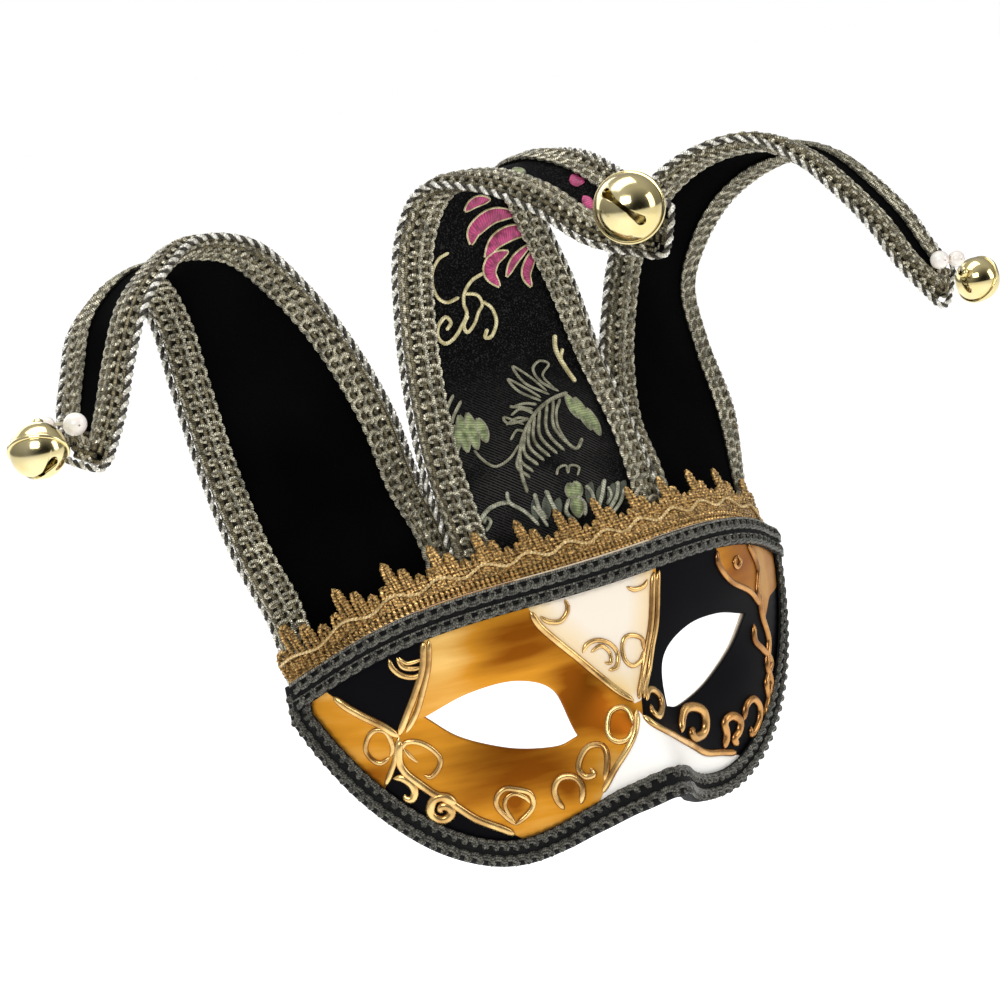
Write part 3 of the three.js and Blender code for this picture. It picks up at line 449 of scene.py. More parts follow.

# Other tones, from the first to the second by each finish's own pattern
# Gilt of the raised lines: painted highlight and painted shade, each going from gold to copper
GILT_HIGHLIGHT = ((0.80, 0.54, 0.21), (0.52, 0.26, 0.08))
GILT_SHADE = ((0.26, 0.10, 0.012), (0.10, 0.03, 0.006))
VELVET_TONES = ((0.0007, 0.0006, 0.0007), (0.002, 0.0018, 0.002))
BROCADE_TONES = ((0.0012, 0.0012, 0.0015), (0.05, 0.048, 0.045))
BRASS_TONES = ((0.65, 0.54, 0.25), (0.77, 0.67, 0.39))
PEARL_TONES = ((0.78, 0.68, 0.61), (0.87, 0.82, 0.76))
FLOOR_WHITE = (0.9, 0.9, 0.9, 1)

# Floor, well below the mask, and the light. The surround's rows give the range of a direction, and the
# strength at each end of it.
FLOOR = dict(drop=300, radius=6000, fade_from=2600, fade_to=5600, rings=24, around=96, glow=0.72)
LIGHTS = dict(
    key=dict(place=(-620, -760, 760), size=(600, 450), power=7.0),
    fill=dict(place=(760, -620, 320), size=(400, 600), power=2.5),
    top=dict(place=(0, 150, 950), size=(900, 500), power=4.0),
    back=dict(place=(-100, 900, 420), size=(900, 600), power=3.0),
)
LIGHT_AIM = (0, 20, 60)
WORLD_LIGHT = dict(upward=(-0.2, 0.8, 0.16, 0.58), frontward=(-0.95, -0.35, 0.06, 1.0))


# Curves and meshes

def unit(v):
    """v at length one."""
    return v / np.linalg.norm(v, axis=-1, keepdims=True)


def smooth_step(t):
    """Rises from 0 to 1 with level ends: 3t² - 2t³ on t held between 0 and 1."""
    c = np.clip(t, 0, 1)
    return c * c * (3 - 2 * c)


def through(places, per_span):
    """Smooth curve through places: a uniform Catmull-Rom cubic between each two, ends carried on straight."""
    p = np.asarray(places, float)
    spans = len(p) - 1
    p = np.concatenate([[2 * p[0] - p[1]], p, [2 * p[-1] - p[-2]]])
    t = np.linspace(0, spans, per_span * spans + 1)
    k = np.minimum(t.astype(int), spans - 1)
    w = (t - k)[:, None]
    a, b, c, d = p[k], p[k + 1], p[k + 2], p[k + 3]
    bend = (2 * a - 5 * b + 4 * c - d) * w**2 + (3 * b - 3 * c + d - a) * w**3
    return 0.5 * (2 * b + (c - a) * w + bend)


def lengths(path):
    """Distance along a path from its start, at each of its points."""
    steps = np.linalg.norm(np.diff(path, axis=0), axis=-1)
    return np.concatenate([[0.0], np.cumsum(steps)])


def evened(path, step):
    """The path again, with points about a step apart."""
    along = lengths(path)
    wanted = np.linspace(0, along[-1], max(int(along[-1] / step), 2) + 1)
    return np.stack([np.interp(wanted, along, path[:, k]) for k in range(path.shape[1])], -1)


def runs(path):
    """Direction of travel at each point of a path, from the points on both sides."""
    return unit(np.gradient(path, axis=0))


def loft(sections, around=None, joined=False):
    """Closed skin over closed sections (n, m, 3), from each to the next. The ends are capped, or joined.

    The map holds distance along the middle of the skin and share (or distance) round the section.
    """
    n, m = sections.shape[:2]
    ids = np.arange(n * m).reshape(n, m)
    along = lengths(sections.mean(1)) if not joined else np.arange(n, dtype=float)
    share = np.linspace(0, 1, m + 1) if around is None else around
    if joined:
        ids = np.concatenate([ids, ids[:1]])
        along = np.append(along, n)
    ids = np.concatenate([ids, ids[:, :1]], 1)
    quads = np.stack([ids[:-1, :-1], ids[:-1, 1:], ids[1:, 1:], ids[1:, :-1]], -1).reshape(-1, 4)
    grid = np.stack(np.broadcast_arrays(along[:, None], share[None, :]), -1)
    maps = np.stack([grid[:-1, :-1], grid[:-1, 1:], grid[1:, 1:], grid[1:, :-1]], 2).reshape(-1, 2)
    caps = [] if joined else [ids[0, m - 1::-1], ids[-1, :m]]
    return facing_out(sections.reshape(-1, 3), quads, caps, maps)


def facing_out(points, quads, caps, maps):
    """The part with its faces turned over if the closed skin encloses a negative volume."""
    a, b, c, d = np.moveaxis((points - points.mean(0))[quads], 1, 0)
    volume = np.einsum("ij,ij->", a, np.cross(b - a, c - a)) + np.einsum("ij,ij->", a, np.cross(c - a, d - a))
    for cap in caps:
        fan = points[cap] - points.mean(0)
        volume += np.einsum("j,ij->", fan[0], np.cross(fan[1:-1] - fan[0], fan[2:] - fan[0]))
    if volume < 0:
        quads = quads[:, ::-1]
        maps = maps.reshape(-1, 4, 2)[:, ::-1].reshape(-1, 2)
        caps = [cap[::-1] for cap in caps]
    return dict(points=points, quads=quads, caps=caps, maps=maps)


def strand(path, up, radius, sides, flat=1.0, blunt=0):
    """Tube along a path: rings of the given radius, square to the run, flattened along up by the share flat.

    blunt rounds off both ends over that many points.
    """
    run = runs(path)
    side = unit(np.cross(up, run))
    rise = np.cross(run, side)
    size = np.broadcast_to(np.asarray(radius, float), (len(path),)).copy()
    if blunt:
        inset = np.minimum(np.arange(len(path)), np.arange(len(path))[::-1]) / blunt
        size *= np.sqrt(np.clip(1 - (1 - np.clip(inset, 0, 1)) ** 2, LEAST_END, 1))
    turn = TURN * np.arange(sides) / sides
    ring = np.cos(turn)[:, None] * side[:, None, :] + flat * np.sin(turn)[:, None] * rise[:, None, :]
    return loft(path[:, None, :] + size[:, None, None] * ring)


def put(name, parts, finish, slot, nodes=()):
    """One mesh object from joined parts, in metres, riding on the body and standing for the named nodes."""
    starts = np.cumsum([0] + [len(part["points"]) for part in parts])
    points = np.concatenate([part["points"] for part in parts]) * MM
    corners, counts, maps = [], [], []
    for part, start in zip(parts, starts):
        corners += [part["quads"].ravel() + start] + [cap + start for cap in part["caps"]]
        counts += [np.full(len(part["quads"]), 4)] + [[len(cap)] for cap in part["caps"]]
        maps += [part["maps"]] + [np.zeros((len(cap), 2)) for cap in part["caps"]]
    corners, counts, maps = np.concatenate(corners), np.concatenate(counts), np.concatenate(maps)
    mesh = bpy.data.meshes.new(name)
    mesh.vertices.add(len(points))
    mesh.vertices.foreach_set("co", points.ravel())
    mesh.loops.add(len(corners))
    mesh.loops.foreach_set("vertex_index", corners.astype(np.int32))
    mesh.polygons.add(len(counts))
    mesh.polygons.foreach_set("loop_start", (np.cumsum(counts) - counts).astype(np.int32))
    mesh.polygons.foreach_set("use_smooth", np.ones(len(counts), bool))
    mesh.uv_layers.new(name="weave").data.foreach_set("uv", maps.ravel())
    mesh.update(calc_edges=True)
    mesh.set_sharp_from_angle(angle=SHARP_EDGE)
    mesh.materials.append(finish)
    piece = bpy.data.objects.new(name, mesh)
    bpy.context.scene.collection.objects.link(piece)
    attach(piece, BODY)
    if nodes:
        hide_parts(*nodes)
    return piece


# Face surface

def face_depth(x, z):
    """Depth of the front at (x, z): an ellipse wrapped round the face, a lean with height squared,
    a bell-shaped dip at each eye, and a nose that swells downwards from the bridge."""
    reach = 1 - (x / SHELL["ellipse_half_width"]) ** 2
    wrap = SHELL["ellipse_depth"] * (1 - np.sqrt(np.maximum(reach, SHELL["least_reach"])))
    lean = np.where(z > 0, SHELL_LEAN["brow"], SHELL_LEAN["cheek"]) * z * z
    across = (np.abs(x) - SOCKET["x"]) / SOCKET["half_width"]
    upward = (z - SOCKET["z"]) / SOCKET["half_height"]
    socket = SOCKET["depth"] * np.exp(-across * across - upward * upward)
    down = smooth_step((NOSE["top"] - z) / (NOSE["top"] - NOSE["bottom"]))
    half_width = NOSE["half_width_top"] + NOSE["half_width_gain"] * down
    nose = NOSE["height"] * down * np.exp(-((x / half_width) ** 2))
    return wrap + lean + socket - nose


def face_normal(x, z):
    """Outward normal of the front, from its slopes along x and z."""
    d = SLOPE_STEP
    slope_x = (face_depth(x + d, z) - face_depth(x - d, z)) / (2 * d)
    slope_z = (face_depth(x, z + d) - face_depth(x, z - d)) / (2 * d)
    return unit(np.stack([slope_x, -np.ones_like(slope_x), slope_z], -1))


def face_point(x, z, lift):
    """Place on the front at (x, z), lifted off it along its normal."""
    x, z, lift = np.broadcast_arrays(*(np.asarray(v, float) for v in (x, z, lift)))
    return np.stack([x, face_depth(x, z), z], -1) + lift[..., None] * face_normal(x, z)


def brow_edge(x):
    """Height of the shell's upper edge: level in the middle, dropping with the fourth power of x."""
    return BROW_EDGE["top"] - BROW_EDGE["drop"] * (x / SHELL["half_width"]) ** 4


def lower_edge(x):
    """Height of the shell's lower edge: a Hermite cubic through its table, the same on both sides."""
    table_x, table_z = np.array(LOWER_EDGE_X, float), np.array(LOWER_EDGE_Z, float)
    at = np.minimum(np.abs(x), table_x[-1])
    k = np.clip(np.searchsorted(table_x, at) - 1, 0, len(table_x) - 2)
    slope = np.empty_like(table_x)
    slope[1:-1] = (table_z[2:] - table_z[:-2]) / (table_x[2:] - table_x[:-2])
    slope[0] = 0
    slope[-1] = (table_z[-1] - table_z[-2]) / (table_x[-1] - table_x[-2])
    span = table_x[k + 1] - table_x[k]
    t = (at - table_x[k]) / span
    ease = t * t * (3 - 2 * t)
    tangents = slope[k] * span * t * (1 - t) ** 2 - slope[k + 1] * span * t * t * (1 - t)
    return table_z[k] + (table_z[k + 1] - table_z[k]) * ease + tangents


def brow_point(x, z, stand_off):
    """Place on the surface behind the brow edge: set back by the stand-off, and leaning back above the edge,
    less so at the right temple."""
    x, z, stand_off = np.broadcast_arrays(*(np.asarray(v, float) for v in (x, z, stand_off)))
    edge = brow_edge(x)
    outward = face_normal(x, edge)
    outward[..., 2] = 0
    outward = unit(outward)
    towards_right = smooth_step((x - BROW["right_from"]) / (BROW["right_to"] - BROW["right_from"]))
    lean = BROW["lean"] + (BROW["right_lean"] - BROW["lean"]) * towards_right
    y = face_depth(x, edge) + lean * np.maximum(z - edge, 0)
    return np.stack([x, y, z], -1) - stand_off[..., None] * outward


# Horn surfaces

class Horn:
    """One horn as a surface: u along its length from 0 to 1, s across it from the left edge to the right.

    A row of places for each section, with a parabola's belly, is joined along u by centripetal Catmull-Rom
    cubics. The surface is kept as a fine grid and read from it by bilinear mixing.
    """

    def __init__(self, name):
        self.name = name
        self.foot = HORNS[name]["foot"]
        self.set_back = HORNS[name]["set_back"]
        self.sections = HORNS[name]["sections"]
        u = np.linspace(0, 1, HORN["rows"])[:, None]
        s = np.linspace(0, 1, HORN["columns"])[None, :]
        d = HORN["frame_step"]
        self.grid = self.exact(u, s)
        along = self.exact(np.minimum(u + d, 1), s) - self.exact(np.maximum(u - d, 0), s)
        across = self.exact(u, np.minimum(s + d, 1)) - self.exact(u, np.maximum(s - d, 0))
        self.across_grid = unit(across)
        self.front_grid = unit(np.cross(across, along))
        self.width = np.linalg.norm(self.grid[:, -1] - self.grid[:, 0], axis=-1)

    def rows(self, s):
        """Places of each section across s: two foot rows on the brow, then the sections and bellies."""
        x = self.foot[0] + (self.foot[1] - self.foot[0]) * s
        stand_off = BROW["stand_off"] + self.set_back[0] + (self.set_back[1] - self.set_back[0]) * s
        feet = [brow_point(x, brow_edge(x) + rise, stand_off)
                for rise in (-HORN["foot_below"], HORN["foot_above"])]
        left, right = (np.array([row[k] for row in self.sections], float) for k in (0, 1))
        centre = (left + right) / 2
        after = np.concatenate([centre[1:], centre[-1:]])
        before = np.concatenate([centre[:1], centre[:-1]])
        front = unit(np.cross(right - left, after - before))
        swell = 4 * s * (1 - s)
        body = [left[i] + (right[i] - left[i]) * s[..., None] + front[i] * row[2] * swell[..., None]
                for i, row in enumerate(self.sections)]
        return np.stack(feet + body)

    def exact(self, u, s):
        """Place at (u, s) by the centripetal cubic between the four nearest rows."""
        u, s = np.broadcast_arrays(u, s)
        p = self.rows(s)
        p = np.concatenate([2 * p[:1] - p[1:2], p, 2 * p[-1:] - p[-2:-1]])
        spans = len(p) - 3
        k = np.minimum((spans * u).astype(int), spans - 1)
        w = (spans * u - k)[..., None]
        p0, p1, p2, p3 = (np.take_along_axis(p, (k + i)[None, ..., None], axis=0)[0] for i in range(4))
        gaps = ((p0, p1), (p1, p2), (p2, p3))
        d0, d1, d2 = (np.sqrt(np.linalg.norm(b - a, axis=-1, keepdims=True)) for a, b in gaps)
        t1 = ((p1 - p0) / d0 - (p2 - p0) / (d0 + d1) + (p2 - p1) / d1) * d1
        t2 = ((p2 - p1) / d1 - (p3 - p1) / (d1 + d2) + (p3 - p2) / d2) * d1
        return p1 + t1 * w + (-3 * p1 + 3 * p2 - 2 * t1 - t2) * w**2 + (2 * p1 - 2 * p2 + t1 + t2) * w**3

    def read(self, grid, u, s):
        """Value of a grid at (u, s), mixed from its four nearest places."""
        u, s = np.broadcast_arrays(np.clip(u, 0, 1), np.clip(s, 0, 1))
        i, j = u * (grid.shape[0] - 1), s * (grid.shape[1] - 1)
        i0, j0 = np.minimum(i.astype(int), grid.shape[0] - 2), np.minimum(j.astype(int), grid.shape[1] - 2)
        a, b = (i - i0)[..., None], (j - j0)[..., None]
        low = grid[i0, j0] * (1 - b) + grid[i0, j0 + 1] * b
        high = grid[i0 + 1, j0] * (1 - b) + grid[i0 + 1, j0 + 1] * b
        return low * (1 - a) + high * a

    def shares(self, u):
        """Shares of the width taken by the hem outside the cloth and by a braid's leg, and the width."""
        width = np.interp(u, np.linspace(0, 1, len(self.width)), self.width)
        leg = np.minimum(BINDING["leg"], BINDING["leg_share"] * (width - 2 * HEM))
        return HEM / width, leg / width, width

    def front(self, u, s):
        """Outward normal of the front face."""
        return unit(self.read(self.front_grid, u, s))

    def across(self, u, s):
        """Direction from the left edge to the right."""
        return unit(self.read(self.across_grid, u, s))

    def point(self, u, s, lift=0.0):
        """Place at (u, s), lifted off the middle of the cloth towards the front."""
        return self.read(self.grid, u, s) + np.asarray(lift, float)[..., None] * self.front(u, s)

    def folded(self, u, s, way, inward, lift):
        """Place and normal on a braid folded over an edge: level over the cloth, then round the edge by an
        ellipse whose turn grows with the distance past it. The lift's sign picks the face it starts from."""
        front = self.front(u, s) * np.sign(lift)[..., None]
        turn = np.clip(-inward / FOLD["arc"], 0, np.pi)[..., None]
        rise = np.abs(lift)[..., None]
        past = (rise + FOLD["past_lift"]) * np.sin(turn)
        at = self.read(self.grid, u, s) + rise * np.cos(turn) * front + past * way
        return at, unit(np.cos(turn) * front + np.sin(turn) * way)

    def edge_place(self, side):
        """For one cloth edge (side -1 left, 1 right): its length, and a map from (distance, in from the edge,
        lift) to a place and normal. Distances in from the edge narrow with the braid's leg."""
        fine = np.linspace(0, 1, 4 * HORN["rows"])
        hem, _, _ = self.shares(fine)
        along = lengths(self.point(fine, hem if side < 0 else 1 - hem))

        def place(distance, inward, lift):
            distance, inward, lift = np.broadcast_arrays(distance, inward, lift)
            u = np.interp(distance, along, fine)
            hem, leg, _ = self.shares(u)
            edge = hem if side < 0 else 1 - hem
            s = edge - side * np.maximum(inward, 0) * leg / BINDING["leg"]
            return self.folded(u, s, side * self.across(u, edge), inward, lift)

        return along[-1], place

    def tip_place(self):
        """The same for the cloth's end: the distance runs across it, and the fold goes on past the tip."""
        hem, _, width = self.shares(1.0)
        near = 1 - HORN["frame_step"]
        last = self.point(1.0, 0.5) - self.point(near, 0.5)
        speed = np.linalg.norm(last) / HORN["frame_step"]

        def place(distance, inward, lift):
            distance, inward, lift = np.broadcast_arrays(distance, inward, lift)
            u = 1 - np.maximum(inward, 0) / speed
            return self.folded(u, hem + distance / width, unit(last), inward, lift)

        return width * (1 - 2 * hem), place


# Finishes

class Finish:
    """A node material: a principled shader, with short calls that add the nodes it reads."""

    def __init__(self, name, **sockets):
        self.material = bpy.data.materials.new(name)
        self.material.use_nodes = True
        self.tree = self.material.node_tree
        self.shader = self.tree.nodes["Principled BSDF"]
        for socket, value in sockets.items():
            self.shader.inputs[socket.replace("_", " ").title().replace("Ior", "IOR")].default_value = value

    def add(self, kind, inputs=(), **settings):
        """A node with its settings, its inputs linked from sockets or set from values by place or name."""
        made = self.tree.nodes.new("ShaderNode" + kind)
        for setting, value in settings.items():
            setattr(made, setting, value)
        pairs = inputs.items() if isinstance(inputs, dict) else enumerate(inputs)
        for key, value in pairs:
            if isinstance(value, bpy.types.NodeSocket):
                self.tree.links.new(value, made.inputs[key])
            elif value is not None:
                made.inputs[key].default_value = value
        return made

    def math(self, operation, *values):
        """Result of a math node."""
        return self.add("Math", values, operation=operation).outputs[0]

    def ramp(self, share, low, high):
        """Share of the way from low to high, held between 0 and 1."""
        return self.add("MapRange", (share, low, high, 0.0, 1.0)).outputs[0]

    def mix(self, share, first, second):
        """Colour mixed from first to second by a share."""
        made = self.add("Mix", data_type="RGBA")
        for key, value in ((0, share), (6, first), (7, second)):
            if isinstance(value, bpy.types.NodeSocket):
                self.tree.links.new(value, made.inputs[key])
            else:
                made.inputs[key].default_value = value if key == 0 else (*value, 1.0)
        return made.outputs[2]

    def place(self):
        """Object coordinates, as x, y and z in metres."""
        return self.add("SeparateXYZ", (self.add("TexCoord").outputs["Object"],)).outputs

    def noise(self, scale, detail=3.0, stretch=(1, 1, 1)):
        """Cloudy noise on Object coordinates, its size in blobs per metre, stretched by axis."""
        place = self.add("TexCoord").outputs["Object"]
        placed = self.add("Mapping", {"Vector": place, "Scale": stretch}).outputs[0]
        return self.add("TexNoise", {"Vector": placed, "Scale": scale, "Detail": detail}).outputs["Fac"]

    def kept(self, name):
        """A value kept on the points of the mesh."""
        return self.add("Attribute", attribute_name=name).outputs["Fac"]

    def weave_map(self):
        """The piece's own map: distance along in millimetres, and share or distance round."""
        parts = self.add("SeparateXYZ", (self.add("UVMap", uv_map="weave").outputs[0],))
        return parts.outputs[0], parts.outputs[1]

    def wave(self, value, per_turn):
        """Sine from 0 to 1 that repeats each time value grows by per_turn."""
        swing = self.math("SINE", self.math("MULTIPLY", value, TURN / per_turn))
        return self.math("MULTIPLY_ADD", swing, 0.5, 0.5)

    def bump(self, height, strength, distance):
        """Bump of the given height, its depth in millimetres."""
        made = self.add("Bump", {"Height": height, "Strength": strength, "Distance": distance * MM})
        self.tree.links.new(made.outputs[0], self.shader.inputs["Normal"])

    def link(self, socket, value):
        """Links a node's output to a socket of the shader."""
        self.tree.links.new(value, self.shader.inputs[socket])


def twisted_thread(name):
    """Twisted thread round a core: slanting ridges, painted shade in the valleys, painted bright and dull
    specks.
    """
    light, dark, metallic, pitch, roughness, grain = THREADS[name]
    finish = Finish(name, metallic=metallic, roughness=roughness)
    along, around = finish.weave_map()
    ridge = finish.wave(finish.math("ADD", along, finish.math("MULTIPLY", around, pitch)), pitch)
    # Painted bright and dull specks: painted highlights on single threads
    glints = finish.ramp(finish.noise(grain, 2.0), 0.4, 0.6)
    # Lighter on the ridges and darker in the valleys: painted shade
    painted_valley_shade = finish.math("MULTIPLY_ADD", ridge, 0.6, 0.4)
    shade = finish.math("MULTIPLY", painted_valley_shade, finish.math("MULTIPLY_ADD", glints, 0.75, 0.25))
    finish.link("Base Color", finish.mix(shade, dark, light))
    finish.bump(ridge, 0.7, 0.12)
    return finish.material


def dark_ribbon(name):
    """Dull woven ribbon: fine ribs across it, with a little weft showing between them in patches."""
    finish = Finish(name, roughness=0.85, specular_ior_level=0.2)
    along, _ = finish.weave_map()
    rib = finish.wave(along, 0.55)
    shows = finish.math("MULTIPLY", rib, finish.ramp(finish.noise(400.0), 0.35, 0.8))
    finish.link("Base Color", finish.mix(shows, *RIBBONS[name]))
    finish.bump(rib, 0.5, 0.1)
    return finish.material


def shell_paint():
    """Gold, black and cream gloss paint in panels: a signed distance into each panel picks its colour.
    The gold goes from pale to deep by the painted light and shade kept on the points (painted highlights and
    painted shade), broken by level brush streaks, and turns to copper on the right. The cream is gilded
    towards its border on the forehead, and whiter on the nose, partly its own paint and partly painted light
    on the nose where it faces downwards. The inside is bare and matt."""
    finish = Finish("shell_paint", specular_ior_level=0.04)
    x, _, z = finish.place()
    streaks = finish.ramp(finish.noise(26.0, 5.0, (0.7, 1.0, 6.0)), 0.3, 0.7)
    clouds = finish.ramp(finish.noise(45.0, 2.0), 0.35, 0.68)
    # Painted light and shade kept on the points, broken by brush streaks
    shade = finish.math("ADD", finish.kept("gold_light_and_shade"), finish.math("MULTIPLY_ADD", streaks, 0.36, -0.18))
    gold = finish.mix(finish.ramp(shade, 0.05, 0.5), GOLD_PALE, GOLD_WARM)
    gold = finish.mix(finish.ramp(shade, 0.5, 0.95), gold, GOLD_DEEP)
    right = finish.ramp(x, PAINT["copper_from"] * MM, PAINT["copper_to"] * MM)
    gold = finish.mix(finish.math("MULTIPLY", right, PAINT["copper"]), gold, COPPER)
    black = finish.ramp(finish.kept("black_reach"), -PAINT["blend"], PAINT["blend"])
    cream = finish.ramp(finish.kept("cream_reach"), -PAINT["blend"], PAINT["blend"])
    inside = finish.kept("inside")
    edge = finish.ramp(finish.kept("cream_reach"), PAINT["gilt_from"], PAINT["gilt_to"])
    forehead = finish.ramp(z, PAINT["forehead_from"] * MM, PAINT["forehead_to"] * MM)
    gilded = finish.math("MULTIPLY", edge, forehead)
    brushed = finish.math("MULTIPLY", gilded, finish.math("MULTIPLY_ADD", clouds, 0.5, 0.5))
    # Whiter nose: partly its own paint, partly painted light where the nose faces downwards
    nose = finish.ramp(z, PAINT["nose_from"] * MM, PAINT["nose_to"] * MM)
    pale = finish.mix(nose, finish.mix(brushed, CREAM, CREAM_EDGE), NOSE_WHITE)
    painted = finish.mix(cream, finish.mix(black, gold, BLACK_PAINT), pale)
    finish.link("Base Color", finish.mix(inside, painted, BARE_INSIDE))
    plain = finish.math("MAXIMUM", finish.math("MAXIMUM", black, cream), inside)
    finish.link("Metallic", finish.math("MULTIPLY_ADD", plain, -0.8, 0.8))
    gloss = finish.math("MULTIPLY_ADD", clouds, 0.1, 0.4)
    finish.link("Roughness", finish.math("MULTIPLY_ADD", inside, 0.5, gloss))
    finish.bump(finish.noise(160.0, 4.0), 0.1, 0.25)
    return finish.material


def scroll_gold():
    """Thick gilt relief: painted highlight of pale gold on top and painted shade of brown down its sides,
    brown too where the paint thins, coppery to the right, slightly lumpy."""
    finish = Finish("scroll_gold", metallic=0.8, roughness=0.25)
    _, around = finish.weave_map()
    worn = finish.ramp(finish.noise(110.0, 3.0), 0.25, 0.55)
    # Painted highlight on top of the line, painted shade down its sides
    top = finish.ramp(finish.wave(around, 1.0), 0.52, 0.85)
    warm = finish.ramp(finish.place()[0], 0.0, PAINT["warm_to"] * MM)
    light = finish.mix(warm, *GILT_HIGHLIGHT)
    deep = finish.mix(warm, *GILT_SHADE)
    finish.link("Base Color", finish.mix(finish.math("MULTIPLY", top, worn), deep, light))
    finish.bump(finish.noise(420.0, 3.0), 0.2, 0.25)
    return finish.material


def velvet():
    """Deep black pile: almost no diffuse light, the faintest sheen, and a short broken nap in its bump."""
    finish = Finish("velvet", roughness=1.0, sheen_weight=0.01, sheen_roughness=0.5, specular_ior_level=0.02)
    nap = finish.noise(1500.0, 3.0)
    brushed = finish.ramp(finish.noise(28.0, 2.0), 0.35, 0.7)
    finish.link("Base Color", finish.mix(brushed, *VELVET_TONES))
    finish.bump(nap, 0.5, 0.2)
    return finish.material


def brocade():
    """Black brocade ground: slanting twill of dull silver thread low on the cloth, a fine speckle above."""
    finish = Finish("brocade", roughness=0.8, specular_ior_level=0.05)
    along, across = finish.weave_map()
    slant = finish.math("ADD", along, finish.math("MULTIPLY", across, 0.75))
    twill = finish.math("POWER", finish.wave(slant, 1.0), 3.0)
    speckle = finish.ramp(finish.noise(1900.0, 2.0), 0.52, 0.7)
    low = finish.ramp(along, 75.0, 35.0)
    patches = finish.ramp(finish.noise(60.0, 2.0), 0.35, 0.6)
    lines = finish.math("MULTIPLY", finish.math("MULTIPLY", twill, low), patches)
    thread = finish.math("MAXIMUM", lines, finish.math("MULTIPLY", speckle, 0.45))
    finish.link("Base Color", finish.mix(thread, *BROCADE_TONES))
    finish.bump(finish.math("ADD", finish.wave(slant, 1.0), finish.wave(across, 0.6)), 0.35, 0.1)
    return finish.material


def silk(name):
    """Woven silk figure: parallel threads across the stroke shade it between two tones, in soft patches."""
    light, dark, metallic = SILKS[name]
    finish = Finish(name, metallic=metallic, roughness=0.5)
    along, around = finish.weave_map()
    stitch = finish.wave(finish.math("ADD", along, finish.math("MULTIPLY", around, 2.0)), 0.8)
    patches = finish.ramp(finish.noise(480.0, 3.0), 0.32, 0.6)
    tone = finish.math("MULTIPLY", finish.math("MULTIPLY_ADD", stitch, 0.65, 0.35), patches)
    finish.link("Base Color", finish.mix(tone, dark, light))
    finish.bump(stitch, 0.5, 0.08)
    return finish.material


def bell_metal():
    """Polished pale brass with faint hand marks in its gloss."""
    finish = Finish("bell_metal", metallic=1.0)
    smear = finish.ramp(finish.noise(120.0, 3.0), 0.35, 0.75)
    finish.link("Base Color", finish.mix(smear, *BRASS_TONES))
    finish.link("Roughness", finish.math("MULTIPLY_ADD", smear, 0.1, 0.1))
    return finish.material


def pearl_lustre():
    """Pearl: white with rosy and cream clouds under a clear coat."""
    finish = Finish("pearl_lustre", roughness=0.3, coat_weight=0.5, coat_roughness=0.1, subsurface_weight=0.1)
    clouds = finish.ramp(finish.noise(180.0, 2.0), 0.3, 0.7)
    finish.link("Base Color", finish.mix(clouds, *PEARL_TONES))
    return finish.material


# Shell

def panel_reach(x, z, outlines):
    """Signed distance into the nearest of some outlines, positive inside by even-odd crossings of edges."""
    best = np.full(x.shape, -np.inf)
    for outline in outlines:
        a = np.array(outline, float)
        b = np.roll(a, -1, axis=0)
        edge = b - a
        dx, dz = x[..., None] - a[:, 0], z[..., None] - a[:, 1]
        t = np.clip((dx * edge[:, 0] + dz * edge[:, 1]) / (edge**2).sum(1), 0, 1)
        far = np.hypot(dx - t * edge[:, 0], dz - t * edge[:, 1]).min(-1)
        spans = (a[:, 1] > z[..., None]) != (b[:, 1] > z[..., None])
        rise = np.where(edge[:, 1] == 0, 1, edge[:, 1])
        cross = spans & (dx < edge[:, 0] * dz / rise)
        inside = cross.sum(-1) % 2 == 1
        best = np.maximum(best, np.where(inside, far, -far))
    return best


def gold_light_and_shade(x, z):
    """Painted light and shade of the gold: an even start plus bell-shaped spots of painted highlight and
    shade.
    """
    middle_x, middle_z, half_width, half_height, strength = np.array(GOLD_LIGHT_AND_SHADE_SPOTS, float).T
    off = ((x[..., None] - middle_x) / half_width) ** 2 + ((z[..., None] - middle_z) / half_height) ** 2
    return GOLD_START + (strength * np.exp(-off)).sum(-1)


